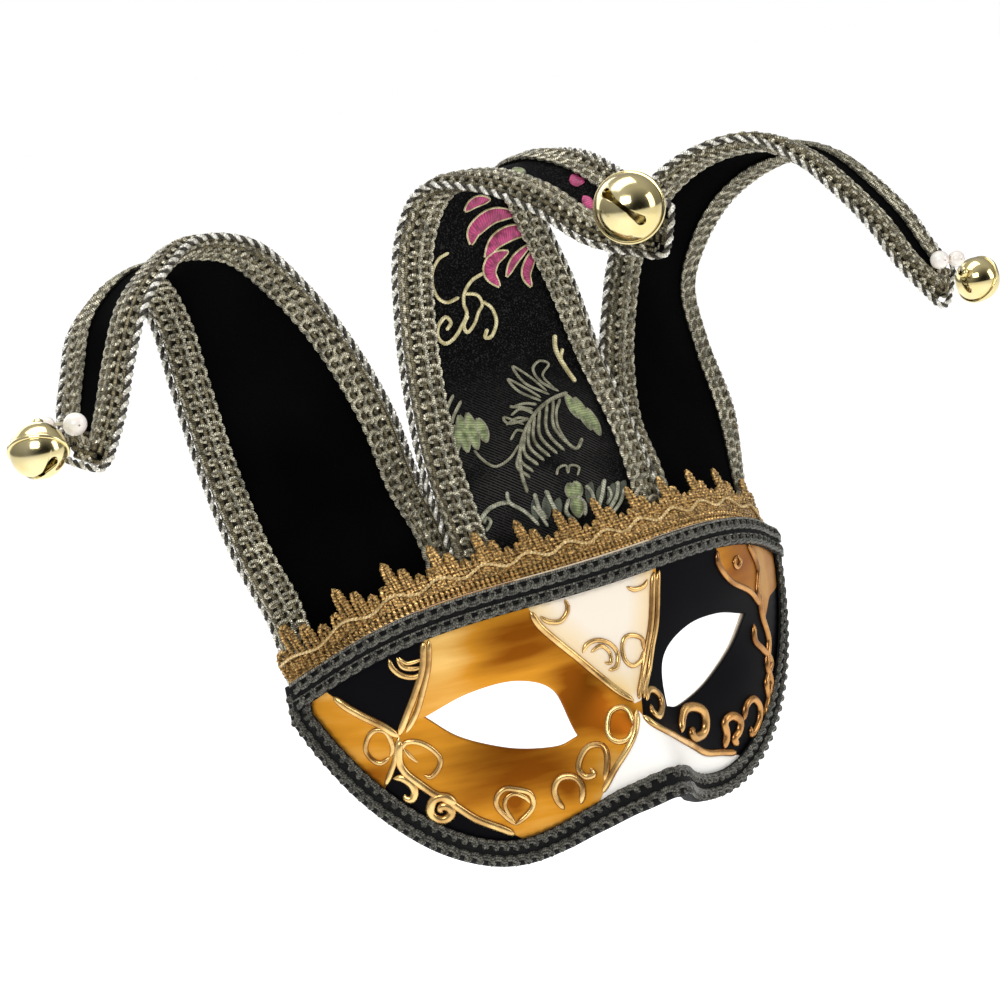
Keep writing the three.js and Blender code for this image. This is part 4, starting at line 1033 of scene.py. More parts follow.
def half_shell(side):
    """One half of the shell as rings of sections round its eye: along each section the front runs from the
    outer edge in to the eye hole, round its lip, and back out behind. Places are mixed on straight lines
    between the eye outline and the half's edge, both at the same angle about the eye's centre."""
    grid, half = SHELL_GRID, SHELL["half_width"]
    brow_x = np.linspace(0, half, grid["brow"], endpoint=False)
    temple_z = np.linspace(brow_edge(half), lower_edge(half), grid["temple"], endpoint=False)
    lower_x = np.linspace(half, 0, grid["lower"], endpoint=False)
    middle_z = np.linspace(lower_edge(0.0), brow_edge(0.0), grid["middle"], endpoint=False)
    edge_x = np.concatenate([brow_x, np.full(grid["temple"], half), lower_x, np.zeros(grid["middle"])])
    edge_z = np.concatenate([brow_edge(brow_x), temple_z, lower_edge(lower_x), middle_z])
    eye = np.concatenate([through(line, grid["eye"])[:-1] for line in (EYE_UPPER, EYE_LOWER)]) - EYE_CENTRE
    eye_turn, eye_radius = np.arctan2(eye[:, 1], eye[:, 0]), np.hypot(eye[:, 0], eye[:, 1])
    order = np.argsort(eye_turn)
    turn = np.arctan2(edge_z - EYE_CENTRE[1], edge_x - EYE_CENTRE[0])
    radius = np.interp(turn, eye_turn[order], eye_radius[order], period=TURN)
    share = np.linspace(1, 0, grid["rows"]) ** grid["crowding"]
    lip = np.array(EYE_LIP)
    level = np.zeros(grid["rows"])
    out = np.concatenate([share, np.zeros(len(lip)), share[::-1]])
    into = np.concatenate([level, lip[:, 0], level])
    lift = np.concatenate([level, lip[:, 1], level - SHELL["wall"]])
    inner = radius[:, None] - into[None, :]
    eye_x, eye_z = (EYE_CENTRE[k] + inner * (np.cos, np.sin)[k](turn)[:, None] for k in (0, 1))
    x = side * (eye_x + (edge_x[:, None] - eye_x) * out)
    z = eye_z + (edge_z[:, None] - eye_z) * out
    part = loft(face_point(x, z, lift[None, :]), joined=True)
    rows = part["quads"].reshape(len(turn), -1, 4)
    open_middle = np.ones(rows.shape[:2], bool)
    open_middle[-grid["middle"]:, -1] = False
    part["maps"] = part["maps"].reshape(len(turn), -1, 4, 2)[open_middle].reshape(-1, 2)
    part["quads"] = rows[open_middle]
    bare = smooth_step(-lift / SHELL["wall"] * BARE_FADE["steepness"] - BARE_FADE["start"])
    inside = np.broadcast_to(bare, x.shape)
    black, cream = (panel_reach(x, z, outlines) for outlines in (BLACK_PANELS, CREAM_PANELS))
    return part, dict(black_reach=black, cream_reach=cream, gold_light_and_shade=gold_light_and_shade(x, z), inside=inside)


def make_shell():
    """Both halves, welded along the middle, with the reach into each painted panel kept on the points."""
    halves = [half_shell(-1), half_shell(1)]
    piece = put("painted_shell", [part for part, _ in halves], shell_paint(), "shell_paint", ["mask_shell"])
    for name in halves[0][1]:
        values = np.concatenate([kept[name].ravel() for _, kept in halves]).astype(np.float32)
        piece.data.attributes.new(name, "FLOAT", "POINT").data.foreach_set("value", values)
    weld = piece.modifiers.new("weld", "WELD")
    weld.merge_threshold = WELD_GAP * MM


def scroll_strand(half_width, places):
    """Raised line on the face through places [x, z], sunk a little into it, with rounded ends."""
    path = evened(through(places, SCROLL["per_span"]), SCROLL["step"])
    at = face_point(path[:, 0], path[:, 1], SCROLL["sink"])
    normal = face_normal(path[:, 0], path[:, 1])
    return strand(at, normal, half_width, SCROLL["sides"], SCROLL["flat"], SCROLL["ends"])


def make_scrolls():
    """Every raised line of the shell, in one piece."""
    put("gold_scrolls", [scroll_strand(*row) for row in SCROLLS], scroll_gold(), "shell_paint")


# Braids of the shell

def loop_row(length, place, row):
    """Row of overlapping thread loops: a trochoid, which runs on by one pitch in each turn while it
    swings along and across, and rides over itself where it crosses. place maps (distance, across, lift)
    to a place and normal."""
    margin = LOOP["margin"]
    count = max(int(round((length - 2 * margin) / row["pitch"])), 1)
    turn = np.linspace(0, TURN * count, count * LOOP["samples"] + 1)
    distance = margin + (length - 2 * margin) * turn / turn[-1] + row["along"] * np.sin(turn)
    across = row["middle"] + row["across"] * np.cos(turn)
    lift = row["lift"] + np.sign(row["lift"]) * LOOP["overlap"] * np.sin(turn)
    at, normal = place(distance, across, lift)
    return strand(at, normal, row["thread"], LOOP["sides"])


def band(length, place, section, step):
    """Flat braid: a closed section of (across, lift) places carried along its line."""
    distance = np.linspace(0, length, int(length / step) + 1)
    across, lift = np.array(section).T
    at, _ = place(*np.broadcast_arrays(distance[:, None], across[None, :], lift[None, :]))
    return loft(at, around=lengths(np.concatenate([at[0], at[0, :1]])))


def piping(length, place, row):
    """Cord laid along a braid, a steady distance across it."""
    distance = np.linspace(0, length, int(length / PIPING["step"]) + 1)
    at, normal = place(distance, np.full_like(distance, row["middle"]), np.full_like(distance, row["lift"]))
    return strand(at, normal, row["radius"], PIPING["sides"])


def top_place():
    """Line along the brow edge, from temple to temple: its length, and (distance, down, lift) to a place.
    Near its ends it rises over the braid of the lower edge."""
    x = np.linspace(-TOP_BRAID["half_span"], TOP_BRAID["half_span"], TOP_BRAID["samples"])
    along = lengths(face_point(x, brow_edge(x), 0))

    def place(distance, down, lift):
        at = np.interp(distance, along, x)
        z = brow_edge(at) - down
        share = (np.abs(at) - TOP_BRAID["over_from"]) / (TOP_BRAID["over_to"] - TOP_BRAID["over_from"])
        return face_point(at, z, lift + TOP_BRAID["over"] * smooth_step(share)), face_normal(at, z)

    return along[-1], place


def lower_place():
    """Line down one temple, along the lower edge and up the other: its length, and (distance, inward, lift)
    to a place. The inward directions are softened along the line."""
    half, samples, softened = SHELL["half_width"], LOWER_BRAID["temple_samples"], LOWER_BRAID["softened"]
    x = half * np.sin(np.linspace(-np.pi / 2, np.pi / 2, LOWER_BRAID["samples"]))
    side = np.linspace(LOWER_BRAID["top_end"], lower_edge(half), samples, endpoint=False)
    left = np.stack([np.full_like(side, -half), side], -1)
    right = np.stack([np.full_like(side, half), side[::-1]], -1)
    edge = evened(np.concatenate([left, np.stack([x, lower_edge(x)], -1), right]), LOWER_BRAID["edge_step"])
    at = face_point(edge[:, 0], edge[:, 1], 0)
    along = lengths(at)
    inward = np.cross(face_normal(edge[:, 0], edge[:, 1]), runs(at))
    soft = np.hanning(2 * softened + 1)
    soft = soft / soft.sum()
    padded = np.pad(inward, ((softened, softened), (0, 0)), mode="edge")
    inward = unit(np.stack([np.convolve(padded[:, k], soft, mode="valid") for k in range(3)], -1))

    def place(distance, into, lift):
        x, z, way_x, way_z = (np.interp(distance, along, line)
                              for line in (edge[:, 0], edge[:, 1], inward[:, 0], inward[:, 2]))
        x, z = x + way_x * into, z + way_z * into
        return face_point(x, z, lift), face_normal(x, z)

    return along[-1], place


def make_rim_braids():
    """Black ribbon with rows of dark silver loops along the brow, and folded round the lower edge."""
    ribbon = dark_ribbon("black_ribbon")
    thread = twisted_thread("dark_silver_thread")
    bright = twisted_thread("silver_piping")
    length, place = top_place()
    top_band = band(length, place, TOP_BRAID_SECTION, TOP_BRAID["step"])
    put("top_braid_ribbon", [top_band], ribbon, "rim_braid", ["top_braid"])
    put("top_braid_loops", [loop_row(length, place, row) for row in TOP_LOOPS], thread, "rim_braid")
    put("top_braid_piping", [piping(length, place, row) for row in TOP_PIPING], bright, "rim_braid")
    length, place = lower_place()
    lower_band = band(length, place, LOWER_BRAID_SECTION, LOWER_BRAID["step"])
    put("lower_braid_ribbon", [lower_band], ribbon, "rim_braid", ["lower_braid"])
    put("lower_braid_loops", [loop_row(length, place, row) for row in LOWER_LOOPS], thread, "rim_braid")


# Gold lace

def lace_foot(x):
    """Lower edge of the lace above the brow edge, which lifts near the temples."""
    share = smooth_step((np.abs(x) - LACE["end_from"]) / (LACE["end_to"] - LACE["end_from"]))
    return LACE["foot"] + (LACE["end_foot"] - LACE["foot"]) * share


def lace_strand(x, rise, radius, stand_off=LACE_CORD["stand_off"]):
    """Chain-stitched cord through places (x, rise) above the brow edge: a strand that swells by grains."""
    path = evened(np.stack(np.broadcast_arrays(x, rise), -1), LACE_CORD["step"])
    at = brow_point(path[:, 0], brow_edge(path[:, 0]) + path[:, 1], stand_off)
    outward = at - brow_point(path[:, 0], brow_edge(path[:, 0]) + path[:, 1], stand_off + 1)
    swell = 1 + LACE_CORD["grain_depth"] * np.sin(TURN * lengths(at) / LACE_CORD["grain"])
    return strand(at, outward, radius * swell, LACE_CORD["sides"])


def finger(middle, row):
    """Hairpin of cord, up one side, round the top and down the other: a blunt half ellipse that leans,
    filled by a stem set a little behind it."""
    t = np.linspace(0, 1, LACE_FINGER["samples"])
    lift = np.sin(np.pi * t) ** LACE_FINGER["bluntness"]
    foot = LACE_FINGER["foot"]
    reach = row["height"] - foot
    x = middle - LACE_FINGER["half_width"] * np.cos(np.pi * t) + row["lean"] * lift
    hairpin = lace_strand(x, foot + reach * lift, LACE_FINGER["radius"])
    stem_x = np.array([middle, middle + LACE_STEM["lean"] * row["lean"]])
    stem_rise = np.array([foot, row["height"] - LACE_STEM["below"]])
    set_back = LACE_CORD["stand_off"] + LACE_STEM["set_back"]
    return [hairpin, lace_strand(stem_x, stem_rise, LACE_STEM["radius"], set_back)]


def make_lace():
    """Scalloped lace: a backing with upright grained cords, groups of fingers and a pale wavy gimp."""
    gold = twisted_thread("gold_lace_thread")
    pale = twisted_thread("gold_gimp")
    half = LACE["half_span"]
    unit_width = 2 * half / LACE["units"]
    x = np.linspace(-half, half, LACE_BACKING["columns"])
    top = np.full_like(x, LACE["band"])
    front, back = LACE_BACKING["stand_off"] - LACE_BACKING["thickness"], LACE_BACKING["stand_off"]
    corners = ((lace_foot(x), front), (top, front), (top, back), (lace_foot(x), back))
    sections = np.stack([brow_point(x, brow_edge(x) + rise, stand_off) for rise, stand_off in corners], 1)
    parts = [loft(sections, around=np.array(LACE_BACKING["around"]))]
    for post in np.arange(-half + LACE_POST["inset"], half, LACE_POST["spacing"]):
        rise = np.array([lace_foot(post) + LACE_POST["raised"], LACE_POST["top"]])
        parts.append(lace_strand(np.full(2, post), rise, LACE_POST["radius"]))
    put("gold_lace_band", parts, gold, "gold_lace", ["gold_lace"])
    fingers = [part for k in range(LACE["units"]) for row in LACE_FINGERS
               for part in finger(-half + (k + row["at"]) * unit_width, row)]
    put("gold_lace_fingers", fingers, gold, "gold_lace")
    fine = np.linspace(-half, half, LACE_GIMP["samples"])
    swing = np.sin(TURN * (fine + half) / unit_width + LACE_GIMP["lag"])
    wave = LACE_GIMP["rise"] + LACE_GIMP["wave"] * swing
    forward = LACE_CORD["stand_off"] - LACE_GIMP["set_forward"]
    put("gold_lace_gimp", [lace_strand(fine, wave, LACE_GIMP["radius"], forward)], pale, "gold_lace")


# Horns

def make_cloth(horn, finish, slot):
    """Stiffened cloth between the braids: front and back a wall apart, with a slow ripple, closed at the
    edges. Gives the piece, its flat width and length, and the area of its front."""
    u = np.linspace(0, 1, CLOTH_GRID["along"])[:, None]
    hem, _, _ = horn.shares(u)
    t = np.linspace(0, 1, CLOTH_GRID["across"])[None, :]
    s = hem + (1 - 2 * hem) * t
    ripple = np.sin(np.pi * CLOTH_RIPPLE["along"] * u + CLOTH_RIPPLE["slant"] * t)
    ripple = ripple * np.sin(np.pi * CLOTH_RIPPLE["across"] * t)
    ripple = CLOTH_RIPPLE["height"] * ripple * np.sin(np.pi * t) ** 2
    front = horn.point(u, s, HORN["half_wall"] + ripple)
    back = horn.point(u, s, -HORN["half_wall"] + ripple)
    sections = np.concatenate([front, back[:, ::-1]], 1)
    ring = np.concatenate([sections[0], sections[0, :1]])
    piece = put(horn.name + "_cloth", [loft(sections, around=lengths(ring))], finish, slot, [horn.name])
    cells = np.cross(np.diff(front, axis=0)[:, :-1], np.diff(front, axis=1)[:-1])
    area = np.linalg.norm(cells, axis=-1).sum() * MM * MM
    width = np.linalg.norm(np.diff(front, axis=1), axis=-1).sum(1).max() * MM
    length = lengths(front[:, CLOTH_GRID["across"] // 2])[-1] * MM
    return piece, (width, length), area


def folded_ribbon(length, place, leg):
    """Ribbon folded over an edge: a leg on the front, a half round past the edge and a leg on the back,
    with the same again inside it for its wall. place maps (distance, in from the edge, lift) to a place
    and normal."""
    distance = np.linspace(0, length, int(length / RIBBON["step"]) + 1)[:, None]
    legs = np.linspace(leg, 0, RIBBON["leg_steps"])[None, :]
    turn = np.linspace(0, np.pi * FOLD["arc"], RIBBON["fold_steps"])[None, 1:-1]

    def skin(lift):
        front, _ = place(distance, legs, lift)
        fold, _ = place(distance, -turn, lift)
        back, _ = place(distance, legs[:, ::-1], -lift)
        return [front, fold, back]

    inner = [row[:, ::-1] for row in skin(RIBBON["lift"] - RIBBON["wall"])[::-1]]
    return loft(np.concatenate(skin(RIBBON["lift"]) + inner, 1))


def other_face(row):
    """The same row of loops on the back."""
    return {**row, "lift": -row["lift"]}


def make_cores(name, length, place, finish):
    """Cords under the loops of a braid, on both faces and round the fold."""
    rows = [*FACE_CORES, *FOLD_CORES, *(other_face(row) for row in FACE_CORES)]
    return put(name + "_cores", [piping(length, place, row) for row in rows], finish, "horn_braid")


def make_braid(horn, side, thread, ribbon, bronze):
    """Looped braid over one edge of a horn: two rows of loops on each face and one round the fold."""
    name = f"{horn.name}_{'left' if side < 0 else 'right'}_braid"
    length, place = horn.edge_place(side)
    put(name + "_ribbon", [folded_ribbon(length, place, BINDING["leg"])], ribbon, "horn_braid", [name])
    rows = [*FACE_LOOPS, FOLD_LOOPS, *(other_face(row) for row in FACE_LOOPS)]
    loops = put(name + "_loops", [loop_row(length, place, row) for row in rows], thread, "horn_braid")
    return [loops, make_cores(name, length, place, bronze)]


def make_tip(horn, thread, ribbon, bronze):
    """The braid across the horn's end, which joins the braids of its two edges."""
    length, place = horn.tip_place()
    put(horn.name + "_tip_ribbon", [folded_ribbon(length, place, TIP_LEG)], ribbon, "horn_braid")
    rows = [TIP_LOOPS, {**FOLD_LOOPS, "pitch": TIP_LOOPS["pitch"]}, other_face(TIP_LOOPS)]
    loops = [loop_row(length, place, row) for row in rows]
    loops = put(horn.name + "_tip_loops", loops, thread, "horn_braid")
    return [loops, make_cores(horn.name + "_tip", length, place, bronze)]


def cord_route(horn):
    """Middle of the edge cord: up the left edge past the braid, round the tip by a blunt half round, and
    down. Gives its places, the front at each, and the distance along it."""
    past = HEM - CORD["radius"]
    u = np.linspace(0, 1, HORN["rows"])
    hem, _, _ = horn.shares(u)
    rising = horn.read(horn.grid, u, hem) - past * horn.across(u, hem)
    falling = (horn.read(horn.grid, u, 1 - hem) + past * horn.across(u, 1 - hem))[::-1]
    front = horn.front(u, np.full_like(u, 0.5))
    tip = horn.read(horn.grid, 1.0, 0.5)
    across = horn.across(1.0, 0.5)
    run = np.cross(horn.front(1.0, 0.5), across)
    half = np.linalg.norm(rising[-1] - falling[0]) / 2
    t = np.linspace(0, 1, CORD["tip_steps"] + 1)[1:-1, None]
    cosine, sine = np.cos(np.pi * t), np.sin(np.pi * t)
    blunt = np.sign(cosine) * np.sqrt(np.abs(cosine))
    round_tip = tip - half * blunt * across + past * np.sqrt(sine) * run
    route = np.concatenate([rising, round_tip, falling])
    fronts = np.concatenate([front, np.repeat(front[-1:], len(t), 0), front[::-1]])
    both = evened(np.concatenate([route, fronts], 1), TWIST["step"])
    return both[:, :3], both[:, 3:], lengths(both[:, :3])


def make_cord(horn, silver, black):
    """Two plies twisted round the route: each winds once about it in a pitch, half a turn from the other."""
    route, front, along = cord_route(horn)
    run = runs(route)
    side = unit(np.cross(front, run))
    rise = np.cross(run, side)
    pieces = []
    for (name, ply), finish in zip(PLIES.items(), (silver, black)):
        turn = TURN * (along / TWIST["pitch"] + ply["start"])
        out = np.cos(turn)[:, None] * side + np.sin(turn)[:, None] * rise
        nodes = [horn.name + "_cord"] if name == "silver" else []
        parts = [strand(route + TWIST["offset"] * out, out, ply["radius"], TWIST["sides"])]
        pieces.append(put(f"{horn.name}_cord_{name}", parts, finish, "edge_cord", nodes))
    return pieces


# Woven figures of the brocade

def stem(horn, radius, places, face=1):
    """Cord lying on the cloth through places (along, across)."""
    path = through(places, MOTIF["per_span"])
    at = horn.point(path[:, 0], path[:, 1], np.full(len(path), face * MOTIF["lift"]))
    front = face * horn.front(path[:, 0], path[:, 1])
    return strand(at, front, radius, MOTIF["cord_sides"], blunt=MOTIF["blunt"])


def leaf(horn, half_width, places, face=1):
    """Flat leaf along places (along, across), its half width a blunted sine of the way, and its outline."""
    path = through(places, MOTIF["per_span"])
    at = horn.point(path[:, 0], path[:, 1], np.full(len(path), face * MOTIF["lift"]))
    front = face * horn.front(path[:, 0], path[:, 1])
    swell = np.maximum(np.sin(np.pi * np.linspace(0, 1, len(path))), MOTIF["least"]) ** MOTIF["fullness"]
    size = half_width * swell
    fill = strand(at, front, size, MOTIF["sides"], MOTIF["flat"])
    side = size[:, None] * unit(np.cross(front, runs(at)))
    outline = np.concatenate([at + side, (at - side)[::-1]])
    return fill, strand(outline, np.concatenate([front, front[::-1]]), MOTIF["outline"], MOTIF["cord_sides"])


def fern(horn):
    """Curved spine with ribs: each leaves the spine at even steps and bends out to its own tip."""
    spine = through(FERN_SPINE, MOTIF["per_span"])
    starts = np.linspace(FERN["first"], FERN["last"], len(FERN_TIPS)) * (len(spine) - 1)
    ribs = []
    for start, tip in zip(spine[starts.astype(int)], np.array(FERN_TIPS)):
        bend = (start + tip) / 2 - np.array([0, FERN["bulge"] * (start - tip)[0]])
        ribs.append(stem(horn, FERN["rib"], (start, bend, tip)))
    return [stem(horn, FERN["spine"], FERN_SPINE)] + ribs


def make_motifs(horn):
    """Pink bloom, pale gold scrolls, green leaves, dull fern and sage frieze of the brocade, and what
    shows of them on the part that is folded over."""
    pink, gold, green, dull, shadow, sage = (silk(name) for name in SILKS)
    petals = [leaf(horn, *row) for row in PETALS]
    fold_petals = [leaf(horn, *row, face=-1) for row in FOLD_PETALS]
    leaves = [leaf(horn, *row) for row in GREEN_LEAVES] + [leaf(horn, *row, face=-1) for row in FOLD_LEAVES]
    dull_leaves = [leaf(horn, *row) for row in DULL_LEAVES]
    gold_parts = [stem(horn, *row) for row in GOLD_STEMS] + [outline for _, outline in petals]
    dull_parts = [stem(horn, *row) for row in DULL_STEMS] + fern(horn)
    dull_parts += [outline for _, outline in leaves]
    return [
        put("brocade_petals", [fill for fill, _ in petals + fold_petals], pink, "brocade"),
        put("brocade_gold_scrolls", gold_parts, gold, "brocade"),
        put("brocade_leaves", [fill for fill, _ in leaves], green, "brocade"),
        put("brocade_shadow_leaves", [fill for fill, _ in dull_leaves], shadow, "brocade"),
        put("brocade_ferns", dull_parts, dull, "brocade"),
        put("brocade_frieze", [stem(horn, *row) for row in FRIEZE_STEMS], sage, "brocade"),
    ]


# Bells and pearls

def direction(lean, turn):
    """Unit vector at an angle from the slot's axis +Y and a turn about it."""
    lean, turn = np.broadcast_arrays(lean, turn)
    return np.stack([np.sin(lean) * np.cos(turn), np.cos(lean), np.sin(lean) * np.sin(turn)], -1)


def slot_lean(radius, turn):
    """Angle from the slot's axis to the slot's edge at each turn: two parallel sides, and a round hole at
    each end as far as it reaches."""
    reach = radius * SLOT["spread"]
    across = np.abs(np.sin(turn))
    side = SLOT["width"] / 2 / np.maximum(across, SLOT["least_across"])
    hole = SLOT["end"] / 2
    off = reach * across
    end = reach * np.abs(np.cos(turn)) + np.sqrt(np.maximum(hole**2 - off**2, 0))
    edge = np.where(off < hole, np.maximum(end, np.minimum(side, reach)), side)
    return np.arcsin(np.clip(edge / radius, 0, SLOT["widest"]))


def make_bell(name, horn, finish):
    """Bell as one closed turn of sections: from the slot's edge over the front, the rim and the back to the
    shank, then through the shank's end and back along the inside. Before the rim each place is mixed by angle
    between the slot's edge and the rim, so that the slot's edge is clean."""
    row, grid = BELLS[name], BELL_GRID
    radius = row["diameter"] / 2
    away, facing = Vector(row["away"]).normalized(), Vector(row["facing"]).normalized()
    to_facing = Vector((0, 1, 0)).rotation_difference(facing).to_matrix()
    turned = np.array(to_facing @ Matrix.Rotation(math.radians(row["slot_turn"]), 3, "Y"))
    centre = horn.read(horn.grid, 1.0, 0.5) + row["stand_off"] * np.array(away)
    turn = TURN * np.arange(grid["around"]) / grid["around"]
    slot = slot_lean(radius, turn)[:, None]
    rim_half = np.arcsin(BELL["rim_height"] / 2 / radius)
    front_lean = slot + (np.pi / 2 - rim_half - slot) * np.linspace(0, 1, grid["front"])[None, :]
    rim_lean, rim_rise = np.array(BELL_RIM).T
    back_lean = np.linspace(np.pi / 2 + rim_half, np.pi - np.arcsin(SHANK["radius"] / radius), grid["back"])
    rest_lean = np.concatenate([np.pi / 2 + rim_half * rim_lean, back_lean])
    rest_size = np.concatenate([radius + BELL["rim"] * rim_rise, np.full(grid["back"], radius)])
    front = radius * direction(front_lean, turn[:, None])
    rest = rest_size[None, :, None] * direction(rest_lean[None, :], turn[:, None])
    end, inner = radius + SHANK["proud"], radius - BELL["wall"]
    post, bore = SHANK["radius"], SHANK["bore"]
    post_radius = np.array([post, post, post * SHANK["taper"], bore, bore])
    post_y = -np.array([radius * SHANK["root"], end - SHANK["chamfer"], end, end, inner])
    shank = np.stack([post_radius * np.cos(turn)[:, None], np.broadcast_to(post_y, (len(turn), len(post_y))),
                      post_radius * np.sin(turn)[:, None]], -1)
    inside_lean = slot + (np.pi - BELL["inside_end"] - slot) * np.linspace(1, 0, grid["inside"])[None, :]
    inside = inner * direction(inside_lean, turn[:, None])
    sections = np.concatenate([front, rest, shank, inside], 1)
    put(name + "_brass", [loft(sections @ turned.T + centre, joined=True)], finish, "bell_metal", [name])


def make_pearl(name, finish):
    """Drilled pearl: a slightly uneven ball whose section dips into a narrow hole through it."""
    centre, diameter = PEARLS[name]
    radius, turn = diameter / 2, TURN * np.arange(PEARL["around"]) / PEARL["around"]
    lean = np.linspace(PEARL["hole"], np.pi - PEARL["hole"], PEARL["down"])
    ball = direction(lean[None, :], turn[:, None])
    uneven = 1 + PEARL["ripple"] * np.sin(2 * turn[:, None] + 1) * np.sin(lean)[None, :] ** 2
    hole = np.sin(PEARL["hole"]) * np.full(2, PEARL["bore"])
    ends = PEARL["bore_depth"] * np.array([-1, 1])
    depth = np.broadcast_to(np.cos(PEARL["hole"]) * ends, (len(turn), 2))
    bore = np.stack([hole * np.cos(turn)[:, None], depth, hole * np.sin(turn)[:, None]], -1)
    sections = np.concatenate([ball * uneven[..., None], bore], 1)
    put(name + "_bead", [loft(radius * sections + np.array(centre), joined=True)], finish, "pearl", [name])


def make_stitches(name, horn, finish):
    """Sewing thread of a bell: from its shank through the pearls beside it to the horn's tip."""
    row = BELLS[name]
    tip = horn.read(horn.grid, 1.0, 0.5)
    away, facing = unit(np.array(row["away"], float)), unit(np.array(row["facing"], float))
    shank = tip + row["stand_off"] * away - (row["diameter"] / 2 + SHANK["proud"] - STITCH["sunk"]) * facing
    side = name.removesuffix("_bell")
    beads = [centre for pearl, (centre, _) in reversed(PEARLS.items()) if pearl.startswith(side)]
    path = through([shank, *beads, tip], STITCH["per_span"])
    run = unit(tip - horn.read(horn.grid, 1 - HORN["frame_step"], 0.5))
    threads = [strand(path + shift * run, np.broadcast_to(run, path.shape), STITCH["radius"], STITCH["sides"])
               for shift in STITCH["shifts"]]
    return put(name + "_stitches", threads, finish, "edge_cord")


# Stage and light

def make_floor():
    """Pale round floor, which glows a little and fades out with distance."""
    turn = TURN * np.arange(FLOOR["around"]) / FLOOR["around"]
    rings = FLOOR["radius"] * (np.arange(1, FLOOR["rings"] + 1) / FLOOR["rings"])[:, None] ** 2
    level = np.full((FLOOR["rings"], FLOOR["around"]), -float(FLOOR["drop"]))
    flat = np.stack([rings * np.cos(turn), rings * np.sin(turn), level], -1)
    ids = np.arange(level.size).reshape(level.shape)
    ids = np.concatenate([ids, ids[:, :1]], 1)
    quads = np.stack([ids[:-1, :-1], ids[1:, :-1], ids[1:, 1:], ids[:-1, 1:]], -1).reshape(-1, 4)
    mesh = bpy.data.meshes.new("floor")
    mesh.from_pydata((flat.reshape(-1, 3) * MM).tolist(), [], quads.tolist() + [ids[0, :-1].tolist()])
    finish = Finish("floor_paper", roughness=0.9, base_color=FLOOR_WHITE, emission_color=FLOOR_WHITE,
                    emission_strength=FLOOR["glow"])
    place = finish.add("TexCoord").outputs["Object"]
    level_place = finish.add("Mapping", {"Vector": place, "Scale": (1, 1, 0)}).outputs[0]
    distance = finish.add("VectorMath", (level_place,), operation="LENGTH").outputs["Value"]
    finish.link("Alpha", finish.ramp(distance, FLOOR["fade_to"] * MM, FLOOR["fade_from"] * MM))
    mesh.materials.append(finish.material)
    floor = bpy.data.objects.new("floor", mesh)
    bpy.context.scene.collection.objects.link(floor)


def make_world():
    """White where the eye looks past the mask; as light, brighter above and dimmer in front of the mask."""
    world = bpy.data.worlds.new("studio")
    bpy.context.scene.world = world
    world.use_nodes = True
    tree = world.node_tree
    add = tree.nodes.new
    place = add("ShaderNodeTexCoord")
    parts = add("ShaderNodeSeparateXYZ")
    tree.links.new(place.outputs["Generated"], parts.inputs[0])
    upward, frontward = add("ShaderNodeMapRange"), add("ShaderNodeMapRange")
    for node, axis, way in ((upward, "Z", "upward"), (frontward, "Y", "frontward")):
        tree.links.new(parts.outputs[axis], node.inputs[0])
        for k, value in enumerate(WORLD_LIGHT[way]):
            node.inputs[k + 1].default_value = value
    product = add("ShaderNodeMath")
    product.operation = "MULTIPLY"
    tree.links.new(upward.outputs[0], product.inputs[0])
    tree.links.new(frontward.outputs[0], product.inputs[1])
    light, seen, choice = add("ShaderNodeBackground"), add("ShaderNodeBackground"), add("ShaderNodeMixShader")
    tree.links.new(product.outputs[0], light.inputs["Strength"])
    tree.links.new(add("ShaderNodeLightPath").outputs["Is Camera Ray"], choice.inputs[0])
    tree.links.new(light.outputs[0], choice.inputs[1])
    tree.links.new(seen.outputs[0], choice.inputs[2])
    for node in (light, seen):
        node.inputs["Color"].default_value = (1, 1, 1, 1)
    tree.links.new(choice.outputs[0], tree.nodes["World Output"].inputs["Surface"])


def make_soft_box(name, place, size, power):
    """Rectangular lamp that looks at the mask."""
    data = bpy.data.lights.new(name, "AREA")
    data.shape = "RECTANGLE"
    data.size, data.size_y = (side * MM for side in size)
    data.energy = power
    lamp = bpy.data.objects.new(name, data)
    bpy.context.scene.collection.objects.link(lamp)
    lamp.location = Vector(place) * MM
    lamp.rotation_euler = (Vector(place) - Vector(LIGHT_AIM)).to_track_quat("Z", "Y").to_euler()


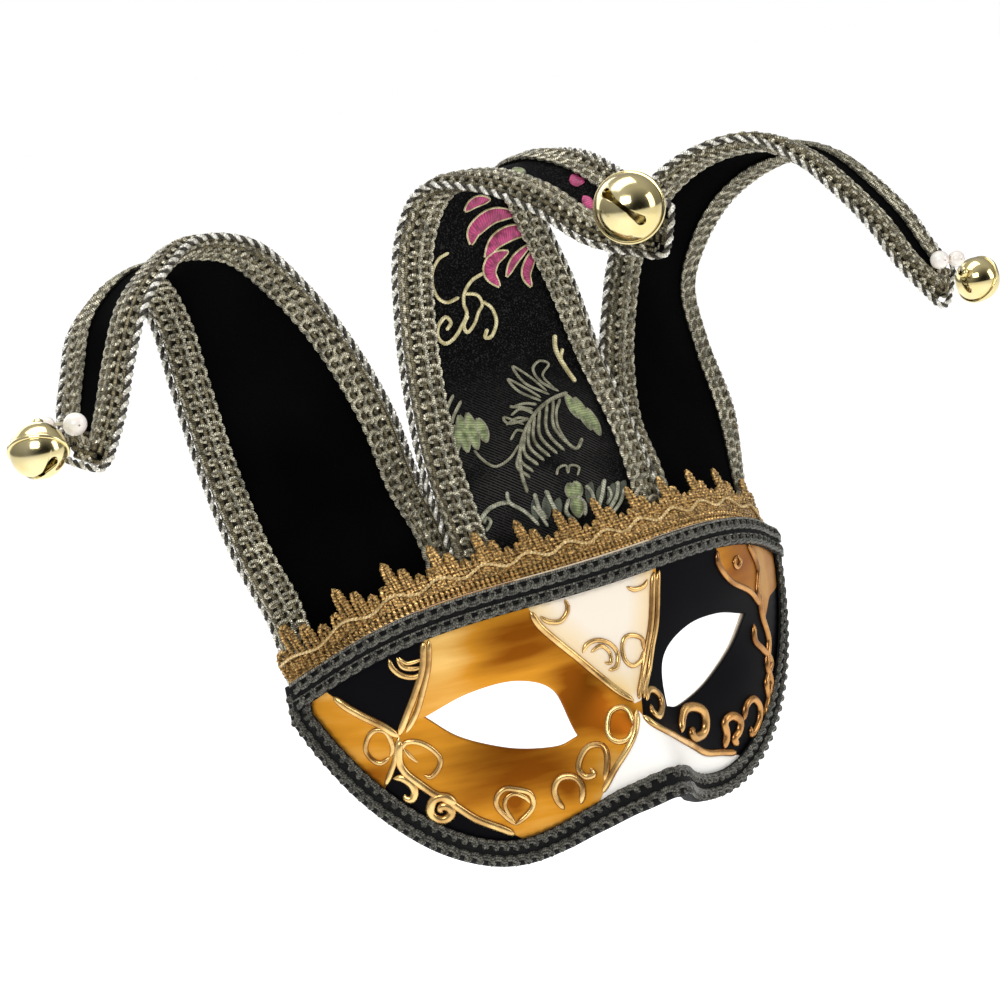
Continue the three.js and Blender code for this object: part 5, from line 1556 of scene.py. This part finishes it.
def make_camera():
    """Camera on a sphere round its target, turned by azimuth and elevation, then rolled about its axis."""
    a, e, r = (math.radians(CAMERA[key]) for key in ("azimuth", "elevation", "roll"))
    back = Vector((math.sin(a) * math.cos(e), -math.cos(a) * math.cos(e), math.sin(e)))
    level = Vector((math.cos(a), math.sin(a), 0))
    upright = back.cross(level)
    right = math.cos(r) * level - math.sin(r) * upright
    up = math.sin(r) * level + math.cos(r) * upright
    data = bpy.data.cameras.new("camera")
    data.lens, data.sensor_width = CAMERA["lens"], CAMERA["sensor"]
    data.clip_start = CAMERA["clip"]
    camera = bpy.data.objects.new("camera", data)
    bpy.context.scene.collection.objects.link(camera)
    camera.matrix_world = Matrix((right, up, back)).transposed().to_4x4()
    camera.location = (Vector(CAMERA_TARGET) + CAMERA["distance"] * back) * MM
    bpy.context.scene.camera = camera


def make_stage():
    """Floor, surround and soft boxes."""
    make_floor()
    make_world()
    for name, row in LIGHTS.items():
        make_soft_box(name, **row)
    bpy.context.scene.view_settings.view_transform = "Standard"


def make_horns(horns):
    """Cloth, braids, tip and cord of each horn, and the woven figures of the centre one."""
    cloths = dict.fromkeys(("left_horn", "right_horn"), (velvet(), "velvet"))
    cloths["centre_horn"] = (brocade(), "brocade")
    thread = twisted_thread("antique_silver_thread")
    bronze = twisted_thread("bronze_thread")
    ribbon = dark_ribbon("olive_ribbon")
    silver_ply = twisted_thread("silver_ply")
    black_ply = twisted_thread("black_ply")
    for name, horn in horns.items():
        cloth, flat, area = make_cloth(horn, *cloths[name])
        trims = [piece for side in (-1, 1) for piece in make_braid(horn, side, thread, ribbon, bronze)]
        trims += make_tip(horn, thread, ribbon, bronze) + make_cord(horn, silver_ply, black_ply)
        if name == "centre_horn":
            trims += make_motifs(horn)


def main():
    """Camera first, then the stage, the shell and what it carries, from the face up to the bells."""
    make_camera()
    make_stage()
    make_shell()
    make_scrolls()
    make_rim_braids()
    make_lace()
    horns = {name: Horn(name) for name in HORNS}
    make_horns(horns)
    brass, lustre = bell_metal(), pearl_lustre()
    linen = twisted_thread("linen_thread")
    for name, row in BELLS.items():
        make_bell(name, horns[row["horn"]], brass)
        make_stitches(name, horns[row["horn"]], linen)
    for name in PEARLS:
        make_pearl(name, lustre)


main()
